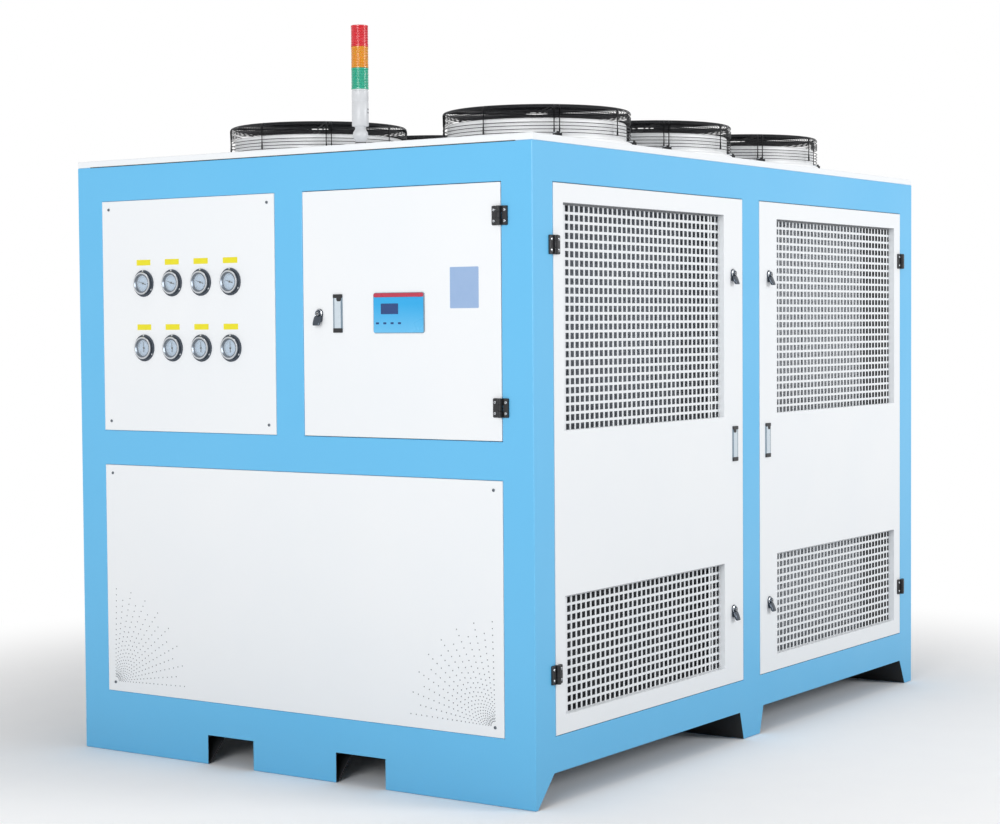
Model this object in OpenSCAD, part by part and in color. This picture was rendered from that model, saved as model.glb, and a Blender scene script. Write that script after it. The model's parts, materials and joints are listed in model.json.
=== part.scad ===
// Air cooled water chiller: a blue steel frame with white panels, grille doors,
// a gauge panel, an electric door and six condenser fans under wire guards on the roof.
// Millimetres. Origin on the ground under the middle, front at -Y, doors at +X and -X, up +Z.

/* [Cabinet] */
// Width over the corner posts
case_w = 1870; // [1700:10:2100]
// Depth from the front face to the rear face
case_d = 2770; // [2600:10:3100]
// Height from the ground to the top of the blue frame
case_h = 2000; // [1850:10:2200]
// Thickness of the white roof panel
roof_h = 22; // [15:1:40]
// Height of the foot beams, which is also the height of the fork pockets
foot_h = 97; // [80:1:130]

/* [Frame] */
// Width of a corner post on each of its two faces
post_w = 112; // [90:1:140]
// Depth of a rail or stile behind its face
rail_d = 60; // [40:1:80]
// Height of the base rails
base_rail_h = 110; // [80:1:140]
// Height of the top rails
top_rail_h = 118; // [90:1:150]
// Height of the rail between the two storeys of the front
mid_rail_h = 117; // [90:1:150]
// Width of the stile between the gauge panel and the electric door
stile_w = 115; // [90:1:150]
// Width of the post between two side doors
mid_post_w = 124; // [100:1:160]
// Thickness of the floor pan
pan_t = 5; // [3:1:10]

/* [Feet and fork pockets] */
// Distance from the middle to the inner wall of a fork pocket
fork_in = 173; // [140:1:220]
// Width of a fork pocket
fork_w = 197; // [160:1:240]
// Depth of the front foot at the ground
front_toe = 12; // [8:1:60]
// Depth of the front foot at the frame
front_foot_d = 104; // [80:1:140]
// Depth of the middle foot at the ground
mid_toe = 123; // [90:1:160]
// Depth of the middle foot at the frame
mid_foot_d = 178; // [140:1:220]
// Depth of the rear foot at the ground
rear_toe = 68; // [40:1:110]
// Depth of the rear foot at the frame
rear_foot_d = 116; // [80:1:140]

/* [Panels and doors] */
// Thickness of the panels and doors
panel_t = 25; // [20:1:35]
// Gap round a door
door_gap = 5; // [5:0.5:8]
// Border of a side door beside its hinges
border_hinge = 52; // [40:1:80]
// Border of a side door beside its latches
border_latch = 130; // [100:1:160]
// Border of a side door at the top
border_top = 55; // [40:1:80]
// Border of a side door at the bottom
border_bottom = 65; // [50:1:90]
// Height of the upper grille window
window_up_h = 690; // [600:5:750]
// Height of the lower grille window
window_low_h = 351; // [300:1:400]
// Thickness of a grille plate
grille_t = 2; // [1.5:0.5:4]
// Overlap of a grille plate on the door behind a window edge
grille_lap = 12; // [8:1:20]
// Pitch of the grille holes, one for each block of four in the real plate
grille_pitch = 56; // [50:1:90]
// Width of the bars between grille holes
grille_bar = 16; // [10:1:24]

/* [Hinges, latches and handles] */
// Height of a hinge
hinge_h = 58; // [50:1:80]
// Width of one leaf of a hinge
leaf_w = 27.5; // [24:0.5:40]
// Thickness of a hinge leaf
leaf_t = 4; // [3:0.5:6]
// Radius of a hinge knuckle
knuckle_r = 8; // [7:0.5:9]
// Radius of a hinge pin
pin_r = 3; // [2.5:0.5:4]
// Running clearance round a pin, spindle or shaft
run_clear = 0.05; // [0.02:0.01:0.1]
// Radius of a latch head
latch_r = 16; // [12:1:20]
// Length of a latch lever below its centre
latch_lever = 42; // [35:1:50]
// Radius of a latch spindle
spindle_r = 6; // [4:0.5:8]
// Height of a pull plate
pull_h = 121; // [100:1:150]
// Width of a pull plate
pull_w = 36; // [30:1:45]
// Thickness of a pull plate
pull_t = 5; // [4:0.5:8]
// Distance from the edge of the electric door to its latch
edoor_latch_in = 62; // [50:1:80]
// Distance from the edge of the electric door to its pull
edoor_pull_in = 138; // [120:1:170]
// Height of the latch and pull above the middle rail's foot
edoor_grip_up = 507; // [400:1:600]
// Distance from the ends of the electric door opening to its hinges
edoor_hinge_in = 102; // [80:1:150]
// Distance from the edge of a side door to its latches
sdoor_latch_in = 68; // [50:1:85]
// Distance from the ends of a side door opening to its latches
sdoor_latch_end = 258; // [200:1:320]
// Distance from the edge of a side door to its pull
sdoor_pull_in = 56; // [40:1:75]
// Height of a side door's pull above the base rail
sdoor_pull_up = 831; // [700:1:950]
// Distance from the ends of a side door opening to its hinges
sdoor_hinge_in = 189; // [150:1:240]

/* [Gauges and controller] */
// Radius of a gauge flange
gauge_r = 45; // [35:1:55]
// Radius of a gauge dial
dial_r = 31; // [25:1:35]
// Height of a gauge above the panel
gauge_h = 14; // [10:1:25]
// Spacing of the gauges in a row
gauge_pitch = 128.5; // [110:0.5:150]
// Distance between the two gauge rows
gauge_rows = 217; // [180:1:260]
// Height of the lower gauge row above the middle rail
gauge_up = 281; // [200:1:320]
// Width of the controller plate
controller_w = 196; // [160:1:240]
// Height of the controller plate
controller_h = 126; // [100:1:160]
// Thickness of the controller plate
controller_t = 5; // [3:1:12]

/* [Fans] */
// Distance of a fan column from the side of the cabinet
fan_side = 467; // [400:1:520]
// Distance of the first fan row from the front
fan_front = 740; // [640:1:800]
// Distance of the last fan row from the rear
fan_rear = 620; // [560:1:720]
// Radius of a roof opening
fan_r = 290; // [260:1:300]
// Clearance between blade tips and shroud
tip_gap = 12; // [8:1:25]
// Distance from the rim of a collar in to its wire guard
guard_in = 7; // [4:1:12]
// Height of a wire guard above its collar
guard_h = 103; // [85:1:150]
// Height of the white collar that carries a guard
collar_h = 32; // [20:1:50]
// Width of the rim of a collar
collar_w = 30; // [26:1:40]
// Height of the white neck that rises inside a guard
neck_h = 60; // [40:1:70]
// Thickness of the neck
neck_t = 10; // [6:1:14]
// Thickness of the guard wires
wire = 6; // [4:0.5:8]
// Number of rings on the top of a guard
top_rings = 10; // [6:1:12]
// Number of rings on the side of a guard
side_rings = 4; // [3:1:7]
// Spacing of the paired rods on a guard's diagonals
rod_pair = 18; // [14:1:30]
// Length of a guard foot along the rim
guard_foot = 34; // [30:1:60]
// Height of the lowest ring of a guard above its collar
ring_low = 13; // [10:1:20]
// Radius of the open middle of a guard
guard_eye = 40; // [30:1:60]
// Radius of a fan motor
motor_r = 70; // [55:1:90]
// Radius of a fan hub
hub_r = 60; // [45:1:80]
// Radius of a fan shaft
shaft_r = 12; // [8:1:16]
// Number of fan blades
blades = 5; // [4:1:7]
// Chord of a fan blade
chord = 110; // [80:1:130]
// Pitch angle of a fan blade
blade_angle = 28; // [18:1:32]

/* [Signal tower] */
// Radius of the signal tower
tower_r = 27.5; // [20:0.5:35]
// Height of one lens
lens_h = 67; // [50:1:80]
// Height of the grey body
tower_body_h = 116; // [90:1:150]
// Height of the knuckle under the body
knuckle_h = 62; // [45:1:80]
// Distance of the tower to the right of the middle
tower_x = 230; // [150:5:320]
// Distance of the tower behind the front face
tower_back = 85; // [60:5:120]

/* [Water ports] */
// Inner radius of a water port
port_r = 38; // [25:1:45]
// Outer radius of a water port
port_outer_r = 52; // [42:1:60]
// Outer radius of a water port flange
port_flange_r = 75; // [65:1:90]
// Distance between the two water ports
port_pitch = 620; // [400:10:800]
// Height of the water ports
port_z = 480; // [350:10:800]

/* [Hidden] */
$fn = 48;
front_y = -case_d / 2;
rear_y = case_d / 2;
side_x = case_w / 2;
base_z = foot_h + base_rail_h;
top_z = case_h - top_rail_h;
storey_h = (top_z - base_z - mid_rail_h) / 2;
mid_z = base_z + storey_h;
upper_z = mid_z + mid_rail_h;
roof_z = case_h + roof_h;
open_x = side_x - post_w;
open_y = rear_y - post_w;
axis_out = knuckle_r + 1;
// Electric door
edoor_x0 = stile_w / 2 + door_gap;
edoor_x1 = open_x - door_gap;
edoor_hinge_x = open_x - door_gap / 2;
edoor_hinges = [upper_z + edoor_hinge_in, top_z - edoor_hinge_in];
edoor_latch = [edoor_x0 + edoor_latch_in, mid_z + edoor_grip_up];
edoor_pull = [edoor_x0 + edoor_pull_in, mid_z + edoor_grip_up];
controller_at = [(edoor_x0 + edoor_x1) / 2, mid_z + edoor_grip_up];
// Side doors
sdoor_y0 = mid_post_w / 2 + door_gap;
sdoor_y1 = open_y - door_gap;
sdoor_z0 = base_z + door_gap;
sdoor_z1 = top_z - door_gap;
sdoor_hinge_y = open_y - door_gap / 2;
sdoor_hinges = [base_z + sdoor_hinge_in, top_z - sdoor_hinge_in];
sdoor_latch_y = sdoor_y0 + sdoor_latch_in;
sdoor_latches = [base_z + sdoor_latch_end, top_z - sdoor_latch_end];
sdoor_pull = [sdoor_y0 + sdoor_pull_in, base_z + sdoor_pull_up];
win_y0 = sdoor_y0 + border_latch;
win_y1 = sdoor_y1 - border_hinge;
win_low_z = sdoor_z0 + border_bottom;
win_up_z = sdoor_z1 - border_top - window_up_h;
// Inside
box_wall = 3;
box_lap = 12;
box_d = 175;
coil_gap = 10;
coil_back = 90;
coil_t = 95;
coil_x1 = side_x - rail_d - coil_back;
coil_y0 = front_y + rail_d + box_d + coil_gap;
coil_y1 = open_y - 13;
coil_h = top_z - foot_h - pan_t - 4;
fin_back = 20;
sheet_t = 3;
sheet_gap = 190;
// Gauges
gauge_x = -(open_x + stile_w / 2) / 2;
gauge_z = [upper_z + gauge_up, upper_z + gauge_up + gauge_rows];
// Fans
fan_x = side_x - fan_side;
fan_pitch = (case_d - fan_front - fan_rear) / 2;
guard_r = fan_r + collar_w - guard_in;
collar_z = roof_z + collar_h;
shroud_h = 110;
shroud_t = 6;
motor_h = 45;
hub_h = 40;
hub_z = case_h - 55;
blade_tip = sqrt(pow(fan_r - tip_gap, 2) - pow(chord / 2, 2));

blue = [0.43, 0.75, 0.93];
white = [0.93, 0.94, 0.95];
black = [0.08, 0.08, 0.09];
steel = [0.62, 0.64, 0.67];
pale = [0.82, 0.87, 0.92];

// Helpers

// Box between two corners
module box(a, b) {
    translate(a) cube(b - a);
}

// Repeat a child at the front and turned round at the rear
module front_and_rear() {
    children();
    rotate(180) children();
}

// Repeat a child at the right and mirrored at the left
module right_and_left() {
    children();
    mirror([1, 0, 0]) children();
}

// Foot blocks under one cross beam, profile given as depth behind the front and height
module foot_blocks(profile) {
    fork_out = fork_in + fork_w;
    for (span = [[-side_x, -fork_out], [-fork_in, fork_in], [fork_out, side_x]])
        translate([span[0], 0, 0])
            rotate([90, 0, 90])
                linear_extrude(span[1] - span[0]) polygon(profile);
}

// Fixed half of a hinge: pin on Z, leaf towards +X, body face at y = axis_out
module hinge_fixed() {
    third = hinge_h / 3;
    box([knuckle_r + 2, axis_out - leaf_t, -hinge_h / 2], [leaf_w, axis_out, hinge_h / 2]);
    for (z = [-hinge_h / 2, hinge_h / 2 - third]) translate([0, 0, z]) {
        cylinder(r = knuckle_r, h = third);
        box([0, 2, 0], [knuckle_r + 3, axis_out, third]);
    }
    translate([0, 0, -hinge_h / 2]) cylinder(r = pin_r, h = hinge_h);
}

// Moving half of a hinge, leaf towards -X
module hinge_moving() {
    third = hinge_h / 3 - 1;
    difference() {
        union() {
            box([-leaf_w, axis_out - leaf_t, -hinge_h / 2], [-knuckle_r - 2, axis_out, hinge_h / 2]);
            translate([0, 0, -third / 2]) cylinder(r = knuckle_r, h = third);
            box([-knuckle_r - 3, 2, -third / 2], [0, axis_out, third / 2]);
        }
        translate([0, 0, -third]) cylinder(r = pin_r + run_clear, h = 2 * third);
    }
}

// Lever latch: outward +Z, lever down -Y, spindle into the door
module latch() {
    union() {
        translate([0, 0, 1]) cylinder(r = latch_r, h = 9);
        translate([0, 0, 4 - panel_t]) cylinder(r = spindle_r, h = panel_t);
        translate([-latch_r * 0.62, 0, 0]) rotate([90, 0, 90]) linear_extrude(latch_r * 1.24)
            polygon([[0, 6], [0, 12], [-latch_lever * 0.4, 13], [-latch_lever, 21],
                [-latch_lever, 17], [-latch_lever * 0.4, 6]]);
    }
}

// Bore for a latch spindle through a door
module latch_bore() {
    translate([0, 0, -panel_t - 1]) cylinder(r = spindle_r + run_clear, h = panel_t + 2);
}

// Flush pull plate: outward +Z, long along Y
module pull_plate() {
    translate([-pull_w / 2, -pull_h / 2, 0]) cube([pull_w, pull_h, pull_t]);
}

// Place a child on the front face: outward becomes -Y
module on_front(x, z) {
    translate([x, front_y, z]) rotate([90, 0, 0]) children();
}

// Place a child on the right side face: outward becomes +X
module on_side(y, z) {
    translate([side_x, y, z]) rotate([90, 0, 90]) children();
}

// Place a hinge half at the outer edge of the right rear door
module at_rear_hinge(z) {
    translate([side_x + axis_out, sdoor_hinge_y, z]) rotate(90) children();
}

// Mirror the rear side door's pieces into the front side door's place
module to_front_door() {
    mirror([0, 1, 0]) children();
}

// Slab of the right rear door with its two windows and spindle bores
module side_door() {
    difference() {
        box([side_x - panel_t, sdoor_y0, sdoor_z0], [side_x, sdoor_y1, sdoor_z1]);
        box([side_x - panel_t - 1, win_y0, win_low_z], [side_x + 1, win_y1, win_low_z + window_low_h]);
        box([side_x - panel_t - 1, win_y0, win_up_z], [side_x + 1, win_y1, win_up_z + window_up_h]);
        for (z = sdoor_latches) on_side(sdoor_latch_y, z) latch_bore();
    }
}

// One perforated plate behind a window, holes on a centred grid
module grille_plate(z, h) {
    w = win_y1 - win_y0;
    cols = floor(w / grille_pitch);
    rows = floor(h / grille_pitch);
    hole = grille_pitch - grille_bar;
    translate([side_x - panel_t - grille_t, win_y0, z]) rotate([90, 0, 90]) linear_extrude(grille_t)
        difference() {
            translate([-grille_lap, -grille_lap]) square([w + 2 * grille_lap, h + 2 * grille_lap]);
            for (i = [0 : cols - 1], j = [0 : rows - 1])
                translate([(w - cols * grille_pitch + grille_bar) / 2 + i * grille_pitch,
                    (h - rows * grille_pitch + grille_bar) / 2 + j * grille_pitch]) square(hole);
        }
}

// Both plates of the right rear door
module side_grilles() {
    grille_plate(win_low_z, window_low_h);
    grille_plate(win_up_z, window_up_h);
}

// Moving hinge leaves and pull of the right rear door
module side_fittings() {
    for (z = sdoor_hinges) at_rear_hinge(z) hinge_moving();
    on_side(sdoor_pull[0], sdoor_pull[1]) pull_plate();
}

// Fan positions along one column
function fan_y(row) = front_y + fan_front + row * fan_pitch;

// One ring of the guard lattice
module guard_ring(r, z) {
    rotate_extrude($fn = 72) translate([r - wire, z]) square(wire);
}

// One wire guard on its collar: flat top, rings down the side, twelve bent rods, four feet
module guard() {
    step = (guard_r - guard_eye) / top_rings;
    rise = (guard_h - wire - ring_low) / side_rings;
    foot_in = fan_r + neck_t + 2;
    union() {
        for (k = [0 : top_rings - 1]) guard_ring(guard_r - k * step, guard_h - wire);
        for (k = [0 : side_rings - 1]) guard_ring(guard_r, ring_low + k * rise);
        for (a = [0 : 90 : 270]) rotate(a) {
            guard_rod(0, ring_low + 1);
            rotate(45) {
                guard_rod(-rod_pair / 2, 1);
                guard_rod(rod_pair / 2, 1);
                box([foot_in, -guard_foot / 2, 0], [guard_r - wire / 2, guard_foot / 2, ring_low + 2]);
            }
        }
    }
}

// One rod of the guard: up the side and in along the top
module guard_rod(off, low) {
    translate([guard_r - wire * 0.8, off - wire / 2, low]) cube([wire, wire, guard_h - 1 - low]);
    translate([guard_eye, off - wire / 2, guard_h - wire - 1])
        cube([guard_r - guard_eye - wire / 2, wire, wire]);
}

// Guards of one column
module guard_column(side) {
    for (row = [0 : 2]) translate([side * fan_x, fan_y(row), collar_z]) guard();
}

// Shroud, arms, motor and shaft of one fan, as one solid under the roof
module fan_housing() {
    shroud_z = case_h - shroud_h;
    union() {
        translate([0, 0, shroud_z]) difference() {
            cylinder(r = fan_r + shroud_t, h = shroud_h, $fn = 96);
            translate([0, 0, -1]) cylinder(r = fan_r, h = shroud_h + 2, $fn = 96);
        }
        for (a = [0 : 90 : 270]) rotate(a + 45)
            translate([0, -14, shroud_z + 4]) cube([fan_r + shroud_t / 2, 28, 14]);
        translate([0, 0, shroud_z]) cylinder(r = motor_r, h = motor_h - 15);
        translate([0, 0, shroud_z]) cylinder(r = shaft_r, h = hub_z + hub_h + 4 - shroud_z);
    }
}

// Hub and blades, bored for the shaft
module rotor() {
    difference() {
        union() {
            translate([0, 0, hub_z]) cylinder(r = hub_r, h = hub_h);
            for (k = [0 : blades - 1]) rotate(k * 360 / blades)
                translate([hub_r - 15, 0, hub_z + hub_h / 2]) rotate([blade_angle, 0, 0])
                    translate([0, -chord / 2, -2]) cube([blade_tip - hub_r + 15, chord, 4]);
        }
        translate([0, 0, hub_z - 30]) cylinder(r = shaft_r + run_clear, h = hub_h + 60);
    }
}

// One rotor in its place
module rotor_at(side, row) {
    color(black) translate([side * fan_x, fan_y(row), 0]) rotor();
}

// One lens of the signal tower
module lens(level) {
    z = roof_z + knuckle_h + tower_body_h + level * lens_h;
    translate([tower_x, front_y + tower_back, z]) cylinder(r = tower_r, h = lens_h);
}

// Base and frame

module front_foot_beam() {
    color(blue) translate([0, front_y, 0])
        foot_blocks([[0, 0], [front_toe, 0], [front_foot_d, foot_h], [0, foot_h]]);
}

module middle_foot_beam() {
    color(blue) foot_blocks([[-mid_toe / 2, 0], [mid_toe / 2, 0], [mid_foot_d / 2, foot_h],
        [-mid_foot_d / 2, foot_h]]);
}

module rear_foot_beam() {
    color(blue) translate([0, rear_y, 0])
        foot_blocks([[-rear_toe, 0], [0, 0], [0, foot_h], [-rear_foot_d, foot_h]]);
}

module base_rails() {
    color(blue) {
        front_and_rear() box([-open_x, front_y, foot_h], [open_x, front_y + rail_d, base_z]);
        right_and_left() box([side_x - rail_d, -open_y, foot_h], [side_x, open_y, base_z]);
    }
}

module floor_pan() {
    color(steel) union() {
        box([-open_x, front_y + rail_d, foot_h], [open_x, rear_y - rail_d, foot_h + pan_t]);
        box([-side_x + rail_d, -open_y, foot_h], [side_x - rail_d, open_y, foot_h + pan_t]);
    }
}

module corner_posts() {
    color(blue) front_and_rear() right_and_left()
        box([open_x, front_y, foot_h], [side_x, front_y + post_w, case_h]);
}

module middle_posts() {
    color(blue) right_and_left()
        box([side_x - rail_d, -mid_post_w / 2, base_z], [side_x, mid_post_w / 2, top_z]);
}

module top_rails() {
    color(blue) {
        front_and_rear() box([-open_x, front_y, top_z], [open_x, front_y + rail_d, case_h]);
        right_and_left() box([side_x - rail_d, -open_y, top_z], [side_x, open_y, case_h]);
    }
}

module end_rails() {
    color(blue) front_and_rear()
        box([-open_x, front_y, mid_z], [open_x, front_y + rail_d, upper_z]);
}

module end_stiles() {
    color(blue) front_and_rear()
        box([-stile_w / 2, front_y, upper_z], [stile_w / 2, front_y + rail_d, top_z]);
}

// Fixed panels

module gauge_panel() {
    color(white) box([-open_x, front_y, upper_z], [-stile_w / 2, front_y + panel_t, top_z]);
}

module pressure_gauges() {
    color(steel) for (row = gauge_z, k = [-1.5 : 1.5])
        on_front(gauge_x + k * gauge_pitch, row) rotate_extrude()
            polygon([[0, 0], [gauge_r, 0], [gauge_r, 4], [dial_r + 7, 6], [dial_r + 5, gauge_h],
                [dial_r, gauge_h], [dial_r, gauge_h - 6], [0, gauge_h - 6]]);
}

module gauge_dials() {
    color(pale) for (row = gauge_z, k = [-1.5 : 1.5])
        on_front(gauge_x + k * gauge_pitch, row) translate([0, 0, gauge_h - 6])
            cylinder(r = dial_r - 0.5, h = 1.5);
}

module front_lower_panel() {
    color(white) box([-open_x, front_y, base_z], [open_x, front_y + panel_t, mid_z]);
}

module rear_panels() {
    color(white) {
        difference() {
            box([-open_x, rear_y - panel_t, base_z], [open_x, rear_y, mid_z]);
            for (s = [-1, 1]) translate([s * port_pitch / 2, rear_y - panel_t - 1, port_z])
                rotate([-90, 0, 0]) cylinder(r = port_r, h = panel_t + 2);
        }
        right_and_left() box([stile_w / 2, rear_y - panel_t, upper_z], [open_x, rear_y, top_z]);
    }
}

module water_ports() {
    color(steel) for (s = [-1, 1]) translate([s * port_pitch / 2, rear_y, port_z])
        rotate([-90, 0, 0]) difference() {
            union() {
                cylinder(r = port_flange_r, h = 10);
                cylinder(r = port_outer_r, h = 30);
            }
            translate([0, 0, -1]) cylinder(r = port_r, h = 32);
        }
}

module roof_panel() {
    color(white) translate([0, 0, case_h]) linear_extrude(roof_h) difference() {
        square([case_w, case_d], center = true);
        for (side = [-1, 1], row = [0 : 2]) translate([side * fan_x, fan_y(row)])
            circle(r = fan_r, $fn = 96);
    }
}

module fan_collars() {
    color(white) for (side = [-1, 1], row = [0 : 2])
        translate([side * fan_x, fan_y(row), roof_z]) difference() {
            union() {
                cylinder(r = fan_r + collar_w, h = collar_h, $fn = 96);
                cylinder(r = fan_r + neck_t, h = collar_h + neck_h, $fn = 96);
            }
            translate([0, 0, -1]) cylinder(r = fan_r, h = collar_h + neck_h + 2, $fn = 96);
        }
}

module fan_housings() {
    color(steel) for (side = [-1, 1], row = [0 : 2])
        translate([side * fan_x, fan_y(row), 0]) fan_housing();
}

module fan_guards_left() {
    color(black) guard_column(-1);
}

module fan_guards_right() {
    color(black) guard_column(1);
}

module fan_rotor_left_front() {
    rotor_at(-1, 0);
}

module fan_rotor_left_middle() {
    rotor_at(-1, 1);
}

module fan_rotor_left_rear() {
    rotor_at(-1, 2);
}

module fan_rotor_right_front() {
    rotor_at(1, 0);
}

module fan_rotor_right_middle() {
    rotor_at(1, 1);
}

module fan_rotor_right_rear() {
    rotor_at(1, 2);
}

// Electric door

module electric_door() {
    color(white) difference() {
        box([edoor_x0, front_y, upper_z + door_gap], [edoor_x1, front_y + panel_t, top_z - door_gap]);
        on_front(edoor_latch[0], edoor_latch[1]) latch_bore();
    }
}

module electric_door_fittings() {
    color(black) {
        for (z = edoor_hinges) translate([edoor_hinge_x, front_y - axis_out, z]) hinge_moving();
        on_front(edoor_pull[0], edoor_pull[1]) pull_plate();
    }
}

module electric_door_latch() {
    color(steel) on_front(edoor_latch[0], edoor_latch[1]) latch();
}

module controller() {
    color([0.2, 0.6, 0.9]) on_front(controller_at[0], controller_at[1])
        translate([-controller_w / 2, -controller_h / 2, 0])
            cube([controller_w, controller_h, controller_t]);
}

module frame_hinge_leaves() {
    color(black) {
        for (z = edoor_hinges) translate([edoor_hinge_x, front_y - axis_out, z]) hinge_fixed();
        for (z = sdoor_hinges) {
            at_rear_hinge(z) hinge_fixed();
            to_front_door() at_rear_hinge(z) hinge_fixed();
        }
    }
}

module electric_box() {
    y0 = front_y + rail_d;
    color(steel) difference() {
        box([stile_w / 2 - box_lap, y0, upper_z - box_lap], [open_x, y0 + box_d, top_z + box_lap]);
        box([stile_w / 2 - box_lap + box_wall, y0 - 1, upper_z - box_lap + box_wall],
            [open_x - box_wall, y0 + box_d - box_wall, top_z + box_lap - box_wall]);
    }
}

// Side doors

module right_front_door() {
    color(white) to_front_door() side_door();
}

module right_front_grilles() {
    color(white) to_front_door() side_grilles();
}

module right_front_fittings() {
    color(black) to_front_door() side_fittings();
}

module right_front_latch_upper() {
    color(steel) to_front_door() on_side(sdoor_latch_y, sdoor_latches[1]) latch();
}

module right_front_latch_lower() {
    color(steel) to_front_door() on_side(sdoor_latch_y, sdoor_latches[0]) latch();
}

module right_rear_door() {
    color(white) side_door();
}

module right_rear_grilles() {
    color(white) side_grilles();
}

module right_rear_fittings() {
    color(black) side_fittings();
}

module right_rear_latch_upper() {
    color(steel) on_side(sdoor_latch_y, sdoor_latches[1]) latch();
}

module right_rear_latch_lower() {
    color(steel) on_side(sdoor_latch_y, sdoor_latches[0]) latch();
}

module left_doors() {
    color(white) rotate(180) {
        side_door();
        to_front_door() side_door();
    }
}

module left_grilles() {
    color(white) rotate(180) {
        side_grilles();
        to_front_door() side_grilles();
    }
}

module left_side_fittings() {
    for (z = sdoor_hinges) at_rear_hinge(z) {
        box([-leaf_w, axis_out - leaf_t, -hinge_h / 2], [leaf_w, axis_out, hinge_h / 2]);
        translate([0, 0, -hinge_h / 2]) cylinder(r = knuckle_r, h = hinge_h);
    }
    on_side(sdoor_pull[0], sdoor_pull[1]) pull_plate();
    for (z = sdoor_latches) on_side(sdoor_latch_y, z) translate([0, 0, -1]) difference() {
        latch();
        translate([-latch_r, -latch_r, 1 - panel_t]) cube([2 * latch_r, 2 * latch_r, panel_t]);
    }
}

module left_fittings() {
    color(black) rotate(180) {
        left_side_fittings();
        to_front_door() left_side_fittings();
    }
}

// Signal tower

module tower_base() {
    color(pale) translate([tower_x, front_y + tower_back, roof_z]) union() {
        cylinder(r = tower_r + 3, h = 8);
        cylinder(r = tower_r * 0.82, h = knuckle_h);
        translate([0, 0, knuckle_h]) cylinder(r = tower_r, h = tower_body_h);
    }
}

module tower_green_lens() {
    color([0.1, 0.65, 0.35]) lens(0);
}

module tower_amber_lens() {
    color([0.98, 0.68, 0.12]) lens(1);
}

module tower_red_lens() {
    color([0.88, 0.12, 0.14]) lens(2);
}

// Inside

// One coil: the fin pack between tube sheets, with a channel below and above
module coil() {
    z0 = foot_h + pan_t;
    z1 = z0 + coil_h;
    x0 = coil_x1 - coil_t;
    bays = round((coil_y1 - coil_y0) / sheet_gap);
    bay = (coil_y1 - coil_y0 - sheet_t) / bays;
    union() {
        box([x0 + fin_back, coil_y0 + 1, z0 + 1], [coil_x1 - fin_back, coil_y1 - 1, z1 - 1]);
        for (k = [0 : bays]) translate([0, coil_y0 + k * bay, 0])
            box([x0, 0, z0], [coil_x1, sheet_t, z1]);
        for (z = [z0, z1 - sheet_t]) box([x0, coil_y0, z], [coil_x1, coil_y1, z + sheet_t]);
    }
}

module condenser_coils() {
    color(steel) right_and_left() coil();
}

front_foot_beam();
middle_foot_beam();
rear_foot_beam();
base_rails();
floor_pan();
corner_posts();
middle_posts();
top_rails();
end_rails();
end_stiles();
gauge_panel();
pressure_gauges();
gauge_dials();
front_lower_panel();
rear_panels();
water_ports();
roof_panel();
fan_collars();
fan_housings();
fan_guards_left();
fan_guards_right();
fan_rotor_left_front();
fan_rotor_left_middle();
fan_rotor_left_rear();
fan_rotor_right_front();
fan_rotor_right_middle();
fan_rotor_right_rear();
electric_door();
electric_door_fittings();
electric_door_latch();
controller();
frame_hinge_leaves();
electric_box();
right_front_door();
right_front_grilles();
right_front_fittings();
right_front_latch_upper();
right_front_latch_lower();
right_rear_door();
right_rear_grilles();
right_rear_fittings();
right_rear_latch_upper();
right_rear_latch_lower();
left_doors();
left_grilles();
left_fittings();
tower_base();
tower_green_lens();
tower_amber_lens();
tower_red_lens();
condenser_coils();
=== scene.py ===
# %% [markdown]
# # An air cooled water chiller in mesh code
# The machine is a welded blue steel frame filled with white sheet panels and doors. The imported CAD
# model gives every place and size; this script dresses it. Lengths below are in millimetres, as in a
# workshop drawing, and are turned into metres once, when a piece becomes an object.

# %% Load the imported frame
import json
import math
import bmesh
import bpy
import numpy as np
from mathutils import Matrix, Vector


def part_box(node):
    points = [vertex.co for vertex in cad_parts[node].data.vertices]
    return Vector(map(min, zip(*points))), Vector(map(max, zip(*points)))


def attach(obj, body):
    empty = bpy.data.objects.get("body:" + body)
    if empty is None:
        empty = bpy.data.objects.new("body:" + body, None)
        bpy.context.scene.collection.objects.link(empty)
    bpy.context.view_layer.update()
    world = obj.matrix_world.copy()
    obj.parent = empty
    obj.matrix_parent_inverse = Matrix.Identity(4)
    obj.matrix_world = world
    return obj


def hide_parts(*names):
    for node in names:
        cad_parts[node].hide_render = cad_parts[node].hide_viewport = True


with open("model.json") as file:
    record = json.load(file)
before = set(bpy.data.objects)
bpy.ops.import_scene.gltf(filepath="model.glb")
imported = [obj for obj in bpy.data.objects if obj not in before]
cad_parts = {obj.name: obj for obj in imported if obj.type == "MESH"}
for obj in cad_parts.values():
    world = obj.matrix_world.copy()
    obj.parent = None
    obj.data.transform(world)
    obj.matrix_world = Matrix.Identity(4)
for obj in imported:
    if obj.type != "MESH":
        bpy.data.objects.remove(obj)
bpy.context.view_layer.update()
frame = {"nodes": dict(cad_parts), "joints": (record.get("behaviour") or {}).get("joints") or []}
MM = 0.001

# %% [markdown]
# ## Camera
# The viewpoint was solved from the straight edges of the cabinet. A camera could be aimed with a
# constraint, but writing its three axes into the matrix keeps the small roll of the picture exactly.

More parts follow.
